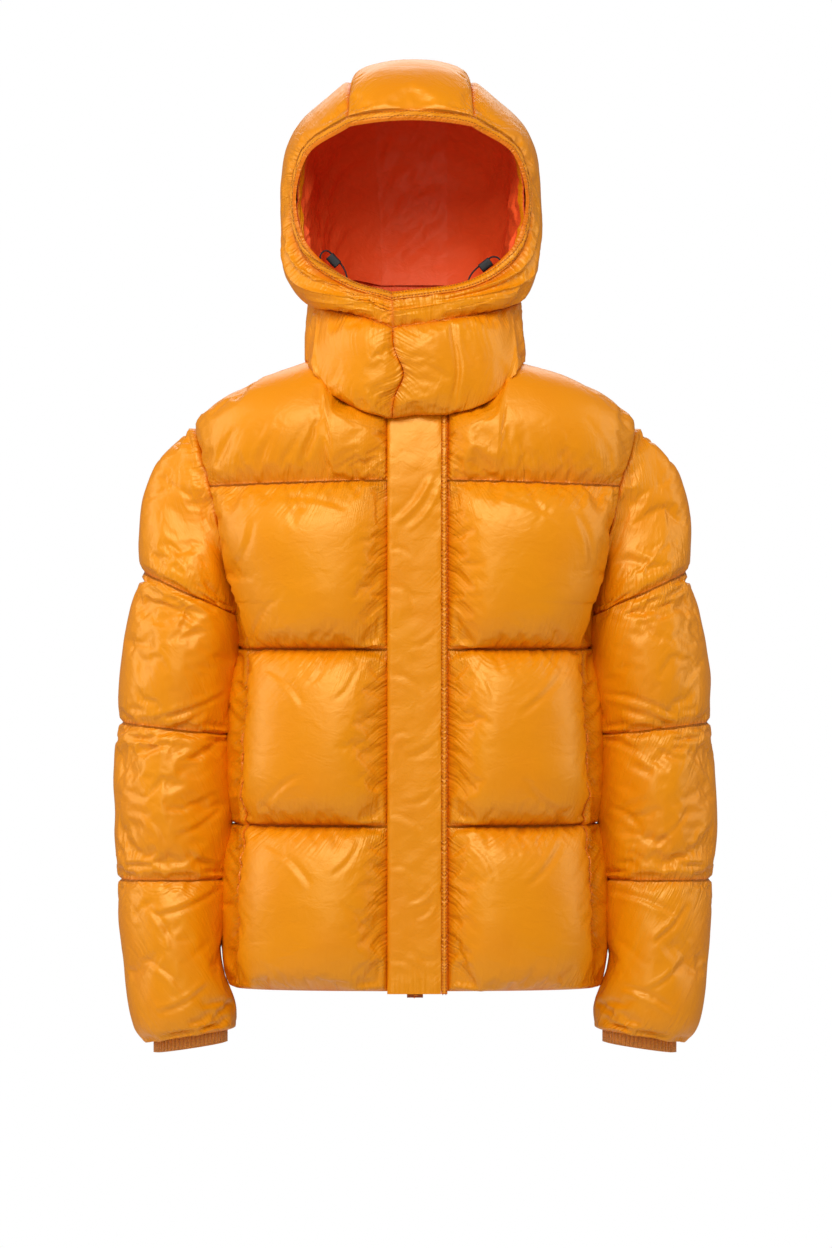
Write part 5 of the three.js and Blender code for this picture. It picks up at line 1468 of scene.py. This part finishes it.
def make_welts():
    bars = []
    for name, node in (("front_right", "pocket_welt_right"), ("front_left", "pocket_welt_left")):
        outer = FINISHED[name][1]
        rows = (outer[:, -1, 2] > WELT_BOTTOM - 3) & (outer[:, -1, 2] < WELT_TOP + 3)
        normal = grid_normals(outer, False, finer(FINISHED[name][0]["normal"]))
        on = between(outer[rows, -6:-1], 2 * (int(rows.sum()) // 2) * 2 + 1, 13)
        up = unit(between(normal[rows, -6:-1], on.shape[0], 13))
        across = np.linspace(0, 1, 13)
        v = row_distance([0], on)[1]
        crown = WELT_THICK * dome(np.clip(across, 0.05, 0.95), 3, 2)[None, :]
        lift = 0.5 + crown + ripple(v / 7, 3 * across[None, :], 8) * 0.4
        cloth_sheet(node, on + up * lift[..., None], on + up * 0.3, shell_material())
        for end in (6, -7):
            bars.append(on[end, 1:-1] + up[end, 1:-1] * (WELT_THICK + 0.7))
    return bars


def cuff_ring(count, inset, height, side):
    around = 2 * math.pi * np.arange(count) / count
    less = SHELL_IN + CUFF_CLEAR + inset
    end = SLEEVE_END
    x = (sleeve_ring["across"](end) - less) * power(np.cos(around), 2 / SLEEVE_POWER)
    y = (sleeve_ring["deep"](end) - less) * power(np.sin(around), 2 / SLEEVE_POWER)
    z = height + sleeve_ring["lean"](end) * x
    return np.stack([side * (sleeve_ring["x"](end) + x), sleeve_ring["y"](end) - y, z], -1)


def rib_tree():
    """Geometry Nodes: upright ribs set evenly round a closed line."""
    tree, sockets, inp = line_tree("Ribs Around", (
        ("Count", "Int", 56), ("Height", "Float", 0.026), ("Width", "Float", 0.004),
        ("Depth", "Float", 0.0028),
    ))
    curve = put(tree, "GeometryNodeMeshToCurve", {"Mesh": inp.outputs["Geometry"]})
    sampled = put(tree, "GeometryNodeResampleCurve", {"Curve": curve.outputs[0]}, mode="COUNT")
    tree.links.new(inp.outputs["Count"], sampled.inputs["Count"])
    post = put(tree, "GeometryNodeMeshCylinder", Vertices=12, Radius=0.5, Depth=1.0)
    size = put(
        tree, "ShaderNodeCombineXYZ",
        {"X": inp.outputs["Width"], "Y": inp.outputs["Depth"], "Z": inp.outputs["Height"]},
    )
    shaped = put(tree, "GeometryNodeTransform", {"Geometry": post.outputs[0], "Scale": size.outputs[0]})
    tangent = put(tree, "GeometryNodeInputTangent")
    turned = put(
        tree, "FunctionNodeAlignRotationToVector", {"Vector": tangent.outputs[0]}, axis="X", pivot_axis="Z"
    )
    end_tree(tree, inp, sampled.outputs[0], shaped.outputs[0], turned.outputs[0])
    return tree, sockets


def make_cuffs():
    sizes = bpy.context.scene.jacket_trims
    for side, name in ((-1, "cuff_right"), (1, "cuff_left")):
        heights = np.concatenate(
            [np.linspace(CUFF_TOP, CUFF_BOTTOM + 2, 13), [CUFF_BOTTOM + 1, CUFF_BOTTOM + 0.3]]
        )
        insets = np.concatenate([np.full(13, 1.0), [1.3, 1.9]])
        outer = np.array([cuff_ring(224, i, h, side) for h, i in zip(heights, insets)])
        inner = np.array(
            [cuff_ring(224, CUFF_RIB + CUFF_WALL, h, side) for h in np.linspace(CUFF_TOP, CUFF_BOTTOM, 15)]
        )
        cloth_sheet(name, outer, inner, knit_material(), around=True)
        ring_line = cuff_ring(224, 1.0, (CUFF_TOP + CUFF_BOTTOM) / 2, side) * MM
        edges = [(i, (i + 1) % len(ring_line)) for i in range(len(ring_line))]
        values = {
            "Count": sizes.ribs, "Height": (CUFF_TOP - CUFF_BOTTOM - 1.2) * MM, "Width": sizes.rib_width,
            "Depth": 0.0024, "Finish": knit_material(),
        }
        run_tree(name + "_ribs", (ring_line.tolist(), edges), rib_tree, values)


def make_collar():
    feet = []
    for name, keep in (
        ("front_left", slice(None)), ("back", slice(None, None, -1)), ("front_right", slice(None, None, -1))
    ):
        top = FINISHED[name][0]["base"][-1][keep]
        feet.append(top[np.abs(top[:, 0]) < NECK_HALF + 1])
    foot = np.vstack([feet[0], feet[1][1:-1], feet[2]])
    side = np.where(foot[:, 0] < 0, -1.0, 1.0)
    neck = np.degrees(np.arctan2(np.abs(foot[:, 0]), -foot[:, 1]))
    tops = np.array([neck_points(np.array([d]), np.array([COLLAR_TOP]), s)[0, 0] for d, s in zip(neck, side)])
    inward = -neck_seam_normal(neck) * np.stack([side, 0 * side + 1, 0 * side + 1], -1)
    tops += inward * (SHELL_IN + COLLAR_CLEAR + COLLAR_THICK)
    tops[0, 0], tops[-1, 0] = ZIP_HALF, -ZIP_HALF
    start = foot + np.array([0, 0, COLLAR_FOOT]) + inward * COLLAR_INSIDE
    inner = start[None] + (tops - start)[None] * np.linspace(0, 1, 9)[:, None, None]
    columns = 2 * (len(foot) // 2) * 2 + 1
    inner = between(inner, 41, columns)
    out = between(np.repeat(-inward[None], 9, 0), 41, columns)
    u, v, _ = measured(inner)
    thick = COLLAR_THICK - 0.5 + 0.5 * ripple(u / 12, v / 14, 2)
    cloth_sheet(
        "collar", inner + out * thick[..., None], inner, shell_material(),
    )


def hood_turns(count_side, count_over, low=0.0, high=1.0, over=1.0):
    us = np.linspace(low, high, count_side)
    ws = np.linspace(-over, over, count_over + 2)[1:-1]
    return us, ws


def make_rim():
    us, ws = hood_turns(111, 59)
    edge, normal = hood_round(1.0, us, ws)
    behind, _ = hood_round(0.96, us, ws)
    onward = edge - behind
    onward = unit(onward - normal * np.sum(onward * normal, -1, keepdims=True))
    t = np.linspace(0, 1, 17)[:, None, None]
    base = edge[None] + onward[None] * (SEAM_GAP / 2 + RIM_WIDTH * t) - normal[None] * RIM_CURL * t * t
    u, v, _ = measured(base)
    swell = RIM_THICK * dome(0.06 + 0.88 * t[..., 0]) - 0.6
    gathers = ripple(u / 5.4, v / 16, 5) * 0.9 + ripple(u / 2.7, v / 9, 6) * 0.35
    lines = np.exp(-(((v - 2.4) / 0.9) ** 2)) + np.exp(-(((v - 8.2) / 0.9) ** 2))
    out = SHELL_OUT - 0.3 + np.maximum(0, swell) + gathers * dome(0.05 + 0.9 * t[..., 0]) - 0.8 * lines
    outer = base + normal[None] * np.maximum(out, 0.3)[..., None]
    inner = base - normal[None] * SHELL_IN
    cloth_sheet("hood_rim", outer, inner, shell_material())
    return [outer[4] + 0.2 * normal, outer[13] + 0.2 * normal]


LINING_FOLDS = [
    # share round the hood, height, run round, run up, width, depth
    (0.16, 0.62, 0.05, 0.22, 0.018, 5.5), (0.22, 0.78, 0.03, 0.14, 0.014, 4.5),
    (0.11, 0.82, 0.04, 0.10, 0.014, 4.0), (0.30, 0.70, -0.03, 0.20, 0.018, 5.0),
    (0.36, 0.86, 0.05, 0.08, 0.016, 4.0), (0.45, 0.84, -0.06, 0.07, 0.016, 4.5),
    (0.53, 0.80, 0.06, 0.10, 0.018, 4.5), (0.60, 0.88, 0.05, -0.06, 0.014, 3.5),
    (0.68, 0.72, 0.03, 0.20, 0.018, 5.0), (0.76, 0.80, -0.03, 0.14, 0.014, 4.5),
    (0.84, 0.64, -0.05, 0.20, 0.018, 5.0), (0.90, 0.80, -0.03, 0.10, 0.014, 4.0),
    (0.20, 0.45, 0.05, 0.16, 0.02, 4.0), (0.80, 0.45, -0.05, 0.16, 0.02, 4.0),
    (0.50, 0.55, 0.0, 0.2, 0.03, 4.0),
]


LINING_EDGE = 0.885  # height from which the lining is faced with shell cloth


def make_lining():
    """The lining shows its inner face, so that is the fine one."""
    us, ws = hood_turns(95, 55, 0.07, 0.95, 0.8)
    heights = np.linspace(0.05, 0.97, 109)
    lines = [hood_round(v, us, ws) for v in heights]
    base, normal = np.array([line[0] for line in lines]), np.array([line[1] for line in lines])
    share = np.linspace(0, 1, base.shape[1])[None, :]
    tall = heights[:, None]
    room = np.clip(np.minimum(share, 1 - share) * 8, 0.1, 1) * dome((tall - 0.03) / 0.95, 4, 2)
    u, v, _ = measured(base)
    broad = 2.2 * ripple(u / 21 + v / 40, v / 33 - u / 60, 1)
    fold = broad + 1.4 * ripple(u / 11, v / 13, 2) + 0.6 * ripple(u / 5.5, v / 6, 3)
    for s, h, along, up, width, depth in LINING_FOLDS:
        t = np.clip(((share - s) * along + (tall - h) * up) / (along**2 + up**2), -0.5, 0.5)
        away = np.hypot(share - s - t * along, (tall - h - t * up) * 0.5)
        fold = fold + depth * (1 - np.abs(2 * t) ** 3) * np.exp(-((away / width) ** 2))
    gathers = ripple(u / 6, v / 28, 7) * 1.3 * smoothstep(0.8, 0.95, tall)
    depth = SHELL_IN + SEAM_GAP + np.maximum(0, LINING_SLACK + fold + gathers) * room
    outer = base - normal * depth[..., None]
    inner = base - normal * (depth + LINING_THICK)[..., None]
    at_edge = (tall + 0 * share > LINING_EDGE)[:-1, :-1]
    u, v, flat = measured(inner)
    # from_rows also sets the painted shade along the lining's top edge.
    fields = {"from_rows": v[-1:] - v, "from_columns": np.full(u.shape, 400.0), "lean": 0 * u}
    obj = wall_mesh(
        "hood_lining_cloth", inner, outer[::2, ::2], False, np.stack([u, v], -1), fields,
        [lining_material(), lining_material(), shell_material()], inside=1,
        pick=np.where(at_edge, 2, 0).ravel(),
    )
    stand_for(obj, "hood_lining")


# Cords and their locks


def sweep(route, section, name, finish):
    """A tube of the section (points across and deep) along the route, capped at both ends."""
    route = np.asarray(route, float)
    along = unit(np.gradient(route, axis=0))
    across = np.cross(along[0], (0, 1, 0))
    across /= np.linalg.norm(across)
    rings = []
    for point, forward in zip(route, along):
        across = across - forward * (across @ forward)
        across /= np.linalg.norm(across)
        deep = np.cross(forward, across)
        rings.append([point + a * across + d * deep for a, d in section])
    n = len(section)
    faces = grid_faces(len(route), n, True)
    faces += [list(range(n))[::-1], list(range((len(route) - 1) * n, len(route) * n))]
    verts = np.array(rings).reshape(-1, 3) * MM
    mesh = bpy.data.meshes.new(name)
    mesh.from_pydata(verts.tolist(), [], faces)
    mesh.polygons.foreach_set("use_smooth", np.ones(len(faces), bool))
    mesh.materials.append(finish)
    turn_out(mesh)
    mesh.set_sharp_from_angle(angle=math.radians(50))
    return link(name, mesh)


def turn_out(mesh):
    """Faces the mesh outwards where its volume comes out negative."""
    mesh.calc_loop_triangles()
    corners = np.empty(len(mesh.loop_triangles) * 3, "i")
    mesh.loop_triangles.foreach_get("vertices", corners)
    points = np.empty(len(mesh.vertices) * 3)
    mesh.vertices.foreach_get("co", points)
    a, b, c = points.reshape(-1, 3)[corners.reshape(-1, 3)].transpose(1, 0, 2)
    if np.sum(a * np.cross(b, c)) < 0:
        mesh.flip_normals()


def circle(radius, count):
    turn = 2 * math.pi * (np.arange(count) + 0.5) / count
    return radius * np.stack([np.cos(turn), np.sin(turn)], -1)


def make_cords():
    cord_finish = black_material("braided_cord", 1500, 0.75, 0.00015)
    lock_finish = black_material("lock_plastic", 700, 0.6, 0.0003)
    for name, route in CORD_ROUTES.items():
        route = np.array(route)
        fine = spline(np.arange(len(route)), route, np.linspace(0, len(route) - 1, 6 * len(route)))
        tube = sweep(fine, circle(CORD_DIAMETER / 2, 12), f"cord_{name}_tube", cord_finish)
        stand_for(tube, f"cord_{name}")
        lock = make_lock(name, lock_finish)


def make_lock(name, finish):
    """A rounded barrel with the cord's bore near one edge, its sides ridged, lofted in rings."""
    start, end = (np.array(p, float) for p in LOCK_ENDS[name])
    along = unit(end - start)
    side = 1 if name == "left" else -1
    across = np.array([-along[2], 0, along[0]]) * side
    deep = np.cross(along, across)
    middle = (start + end) / 2
    count, rings = 48, []
    turn = 2 * math.pi * np.arange(count) / count
    shape = np.stack(
        [LOCK_WIDTH / 2 * power(np.cos(turn), 0.62), LOCK_DEPTH / 2 * power(np.sin(turn), 0.62)], -1
    )
    bore = circle(LOCK_BORE / 2, count)
    steps = np.linspace(-1, 1, 29)
    for t in steps:
        rounding = math.sqrt(max(0.0, 1 - max(0.0, (abs(t) - 0.8) / 0.2) ** 2)) * 0.16 + 0.84
        ridge = 1 - 0.035 * (abs(t) < 0.78) * (0.5 + 0.5 * math.cos(t * 26))
        rings.append((t, shape * rounding * ridge + (LOCK_BORE_OFF, 0)))
    for t in steps[::-1]:
        rings.append((t, bore))
    verts = np.vstack([
        middle + along * (t * LOCK_LENGTH / 2) + section[:, :1] * across + section[:, 1:] * deep
        for t, section in rings
    ])
    faces = grid_faces(len(rings), count, True)
    last = (len(rings) - 1) * count
    faces += [[last + i, last + (i + 1) % count, (i + 1) % count, i] for i in range(count)]
    mesh = bpy.data.meshes.new(f"cord_lock_{name}_barrel")
    mesh.from_pydata((verts * MM).tolist(), [], faces)
    mesh.polygons.foreach_set("use_smooth", np.ones(len(faces), bool))
    mesh.materials.append(finish)
    turn_out(mesh)
    mesh.set_sharp_from_angle(angle=math.radians(50))
    obj = link(f"cord_lock_{name}_barrel", mesh)
    stand_for(obj, f"cord_lock_{name}")
    return obj


# Studio


def area_light(name, place, aim, size, watts):
    light = bpy.data.lights.new(name, "AREA")
    light.shape = "RECTANGLE"
    light.size, light.size_y = size
    light.energy = watts
    obj = link(name, light)
    obj.location = place
    obj.rotation_euler = (Vector(aim) - Vector(place)).to_track_quat("-Z", "Y").to_euler()
    obj.visible_camera = False
    return obj


def make_studio():
    settings = bpy.context.scene.jacket_studio
    scene = bpy.context.scene
    data = bpy.data.cameras.new("camera")
    data.sensor_fit, data.sensor_height = "VERTICAL", 24.0
    data.lens = 24.0 * settings.distance / settings.view_height
    data.clip_end = 60
    camera = link("camera", data)
    camera.location = (0.0011, -settings.distance, -0.2464)
    camera.rotation_euler = (math.radians(90), 0, 0)
    scene.camera = camera
    scene.view_settings.view_transform = "Standard"
    world = bpy.data.worlds.new("studio_white")
    scene.world = world
    world.use_nodes = True
    tree = world.node_tree
    tree.nodes.clear()
    seen = put(tree, "ShaderNodeBackground", Color=(1, 1, 1, 1), Strength=1.0)
    light = put(tree, "ShaderNodeBackground", Color=(1, 0.97, 0.88, 1), Strength=settings.ambient)
    path = put(tree, "ShaderNodeLightPath")
    both = tree.nodes.new("ShaderNodeMixShader")
    tree.links.new(path.outputs["Is Camera Ray"], both.inputs[0])
    tree.links.new(light.outputs[0], both.inputs[1])
    tree.links.new(seen.outputs[0], both.inputs[2])
    out = put(tree, "ShaderNodeOutputWorld")
    tree.links.new(both.outputs[0], out.inputs[0])
    lights = [
        area_light("key", (-0.35, -2.7, 1.85), (0, 0, -0.25), (2.6, 1.5), settings.key),
        area_light("fill", (-0.9, -4.2, 0.3), (0, 0, -0.3), (1.6, 1.6), settings.fill),
        area_light("side_right", (-2.3, -0.25, 0.5), (0, 0, -0.25), (0.8, 2.4), settings.sides),
        area_light("side_left", (2.3, -0.25, 0.5), (0, 0, -0.25), (0.8, 2.4), 0.7 * settings.sides),
        area_light("behind", (0, 2.6, 1.9), (0, 0, -0.1), (2.6, 1.6), settings.behind),
    ]
    turn = 2 * math.pi * np.arange(96) / 96
    rim = np.stack([2.4 * np.cos(turn), 2.4 * np.sin(turn), np.full(96, -1.45)], -1)
    mesh = bpy.data.meshes.new("floor")
    mesh.from_pydata(rim.tolist(), [], [list(range(96))])

    def build(tree, shader):
        place = put(tree, "ShaderNodeTexCoord")
        grain = put(tree, "ShaderNodeTexNoise", {"Vector": place.outputs["Object"]}, Scale=60.0)
        tree.links.new(
            mix_colour(tree, grain.outputs["Fac"], (0.82, 0.82, 0.82), (0.86, 0.86, 0.86)),
            shader.inputs["Base Color"]
        )
        shader.inputs["Roughness"].default_value = 0.9

    mesh.materials.append(material("floor", build))
    floor = link("floor", mesh)


# Settings, operators and panel


class JacketPadding(bpy.types.PropertyGroup):
    slack: FloatProperty(
        name="Slack", description="Share by which the cloth is longer than its panel", default=0.06
    )
    gather_depth: FloatProperty(
        name="Gather Depth", description="Depth of the gathers beside a seam", default=0.0013, unit="LENGTH"
    )
    reach: FloatProperty(
        name="Gather Reach", description="Distance from a seam at which gathers fade",
        default=0.016, unit="LENGTH",
    )


class JacketTrims(bpy.types.PropertyGroup):
    stitch_spacing: FloatProperty(
        name="Stitch Spacing", description="From one stitch to the next", default=0.0034, unit="LENGTH"
    )
    stitch_length: FloatProperty(
        name="Stitch Length", description="Length of a stitch", default=0.0026, unit="LENGTH"
    )
    stitch_width: FloatProperty(
        name="Thread", description="Thickness of the thread", default=0.0009, unit="LENGTH"
    )
    ribs: IntProperty(name="Cuff Ribs", description="Ribs round each cuff", default=56)
    rib_width: FloatProperty(name="Rib Width", description="Width of a rib", default=0.0036, unit="LENGTH")


class JacketColours(bpy.types.PropertyGroup):
    shell: FloatVectorProperty(
        name="Shell", description="The nylon's colour", default=(0.81, 0.262, 0.0), subtype="COLOR"
    )
    # The shell's second colour is painted shade: the cloth finish mixes it in along each seam and edge. It is
    # also mixed in at random as a darker tone, and it gives the zip teeth their grain.
    shell_tone_and_seam_shade: FloatVectorProperty(
        name="Shell Tone and Seam Shade", description="Its darker tone, also painted as shade along the seams",
        default=(0.72, 0.12, 0.0), subtype="COLOR",
    )
    lining: FloatVectorProperty(
        name="Lining", description="The lining's colour", default=(0.9, 0.1, 0.02), subtype="COLOR"
    )
    # The lining's second colour is painted shade: the cloth finish mixes it in along each seam and edge. It
    # is also mixed in at random as a darker tone.
    lining_tone_and_seam_shade: FloatVectorProperty(
        name="Lining Tone and Seam Shade", description="Its darker tone, also painted as shade along the seams",
        default=(0.62, 0.04, 0.005), subtype="COLOR",
    )
    knit: FloatVectorProperty(
        name="Knit", description="The cuffs' colour", default=(0.8, 0.24, 0.01), subtype="COLOR"
    )
    thread: FloatVectorProperty(
        name="Thread Colour", description="The sewing thread's colour",
        default=(0.38, 0.07, 0.0), subtype="COLOR",
    )
    trims: FloatVectorProperty(
        name="Cords", description="The cords' and locks' colour",
        default=(0.004, 0.004, 0.0045), subtype="COLOR",
    )


class JacketStudio(bpy.types.PropertyGroup):
    distance: FloatProperty(
        name="Camera Distance", description="Camera to jacket", default=9.0, unit="LENGTH"
    )
    view_height: FloatProperty(
        name="View Height", description="Height that the picture covers", default=1.3728, unit="LENGTH"
    )
    ambient: FloatProperty(name="Ambient", description="Strength of the room's light", default=0.22)
    key: FloatProperty(name="Key", description="Power of the light above the front", default=88.0)
    fill: FloatProperty(name="Fill", description="Power of the light in front", default=22.0)
    sides: FloatProperty(name="Sides", description="Power of each light beside", default=22.0)
    behind: FloatProperty(name="Behind", description="Power of the light behind", default=30.0)


STITCH_RUNS = []


class JACKET_OT_studio(bpy.types.Operator):
    """Camera, lights and floor"""

    bl_idname, bl_label = "jacket.studio", "Studio"

    def execute(self, context):
        make_studio()
        return {"FINISHED"}


class JACKET_OT_cords(bpy.types.Operator):
    """The two elastic cord ends and their locks"""

    bl_idname, bl_label = "jacket.cords", "Cords and Locks"

    def execute(self, context):
        make_cords()
        return {"FINISHED"}


class JACKET_OT_body(bpy.types.Operator):
    """The fronts, the back and the side panels"""

    bl_idname, bl_label = "jacket.body", "Body Baffles"

    def execute(self, context):
        panels = [front_panel(-1), front_panel(1), back_panel(), side_panel(-1), side_panel(1)]
        pad(panels, context.scene.jacket_padding.slack)
        return {"FINISHED"}


class JACKET_OT_sleeves(bpy.types.Operator):
    """The two sleeves"""

    bl_idname, bl_label = "jacket.sleeves", "Sleeves"

    def execute(self, context):
        pad([sleeve_panel(-1), sleeve_panel(1)], context.scene.jacket_padding.slack)
        return {"FINISHED"}


class JACKET_OT_hood(bpy.types.Operator):
    """The hood's neck, side and centre panels"""

    bl_idname, bl_label = "jacket.hood", "Hood"

    def execute(self, context):
        panels = [neck_panel(-1), neck_panel(1), hood_side_panel(-1), hood_side_panel(1), hood_centre_panel()]
        pad(panels, 0.6 * context.scene.jacket_padding.slack, cap=3.0)
        return {"FINISHED"}


class JACKET_OT_hood_edge(bpy.types.Operator):
    """The hood's gathered edge, its loose lining and the collar under its neck"""

    bl_idname, bl_label = "jacket.hood_edge", "Hood Edge, Lining and Collar"

    def execute(self, context):
        STITCH_RUNS.extend(make_rim())
        make_lining()
        make_collar()
        return {"FINISHED"}


class JACKET_OT_closure(bpy.types.Operator):
    """The zip, the flap over it and the flap's band"""

    bl_idname, bl_label = "jacket.closure", "Zip and Flap"

    def execute(self, context):
        make_zip()
        STITCH_RUNS.extend(make_flap())
        return {"FINISHED"}


class JACKET_OT_welts(bpy.types.Operator):
    """The welts of the two pockets"""

    bl_idname, bl_label = "jacket.welts", "Pocket Welts"

    def execute(self, context):
        STITCH_RUNS.extend(make_welts())
        return {"FINISHED"}


class JACKET_OT_cuffs(bpy.types.Operator):
    """The knitted cuffs and their ribs"""

    bl_idname, bl_label = "jacket.cuffs", "Cuffs"

    def execute(self, context):
        make_cuffs()
        return {"FINISHED"}


class JACKET_OT_stitches(bpy.types.Operator):
    """The topstitching on the band, the hood's edge and the welts"""

    bl_idname, bl_label = "jacket.stitches", "Stitches"

    def execute(self, context):
        sizes = context.scene.jacket_trims
        if not STITCH_RUNS:
            raise RuntimeError("the pieces that carry the stitches come first")
        repeat_along(
            "stitches", STITCH_RUNS, sizes.stitch_spacing, sizes.stitch_length, sizes.stitch_width,
            sizes.stitch_width, thread_material(),
        )
        return {"FINISHED"}


OPERATORS = (
    JACKET_OT_studio, JACKET_OT_cords, JACKET_OT_body, JACKET_OT_sleeves, JACKET_OT_hood, JACKET_OT_hood_edge,
    JACKET_OT_closure, JACKET_OT_welts, JACKET_OT_cuffs, JACKET_OT_stitches,
)
GROUPS = {
    "jacket_padding": JacketPadding, "jacket_trims": JacketTrims,
    "jacket_colours": JacketColours, "jacket_studio": JacketStudio,
}


class JACKET_PT_panel(bpy.types.Panel):
    """The jacket's settings and the steps that build it"""

    bl_idname, bl_label = "JACKET_PT_panel", "Puffer Jacket"
    bl_space_type, bl_region_type, bl_category = "VIEW_3D", "UI", "Jacket"

    def draw(self, context):
        for name, group in GROUPS.items():
            box = self.layout.box()
            for prop in group.__annotations__:
                box.prop(getattr(context.scene, name), prop)
        for operator in OPERATORS:
            self.layout.operator(operator.bl_idname)


def register():
    for group in GROUPS.values():
        bpy.utils.register_class(group)
    for name, group in GROUPS.items():
        setattr(bpy.types.Scene, name, PointerProperty(type=group))
    for operator in (*OPERATORS, JACKET_PT_panel):
        bpy.utils.register_class(operator)


def unregister():
    for operator in (JACKET_PT_panel, *OPERATORS[::-1]):
        bpy.utils.unregister_class(operator)
    for name, group in GROUPS.items():
        delattr(bpy.types.Scene, name)
        bpy.utils.unregister_class(group)


def main():
    register()
    for operator in OPERATORS:
        step = operator.bl_idname.split(".")[1]
        if getattr(bpy.ops.jacket, step)() != {"FINISHED"}:
            raise RuntimeError(f"{step} didn't finish")


if __name__ == "__main__":
    main()
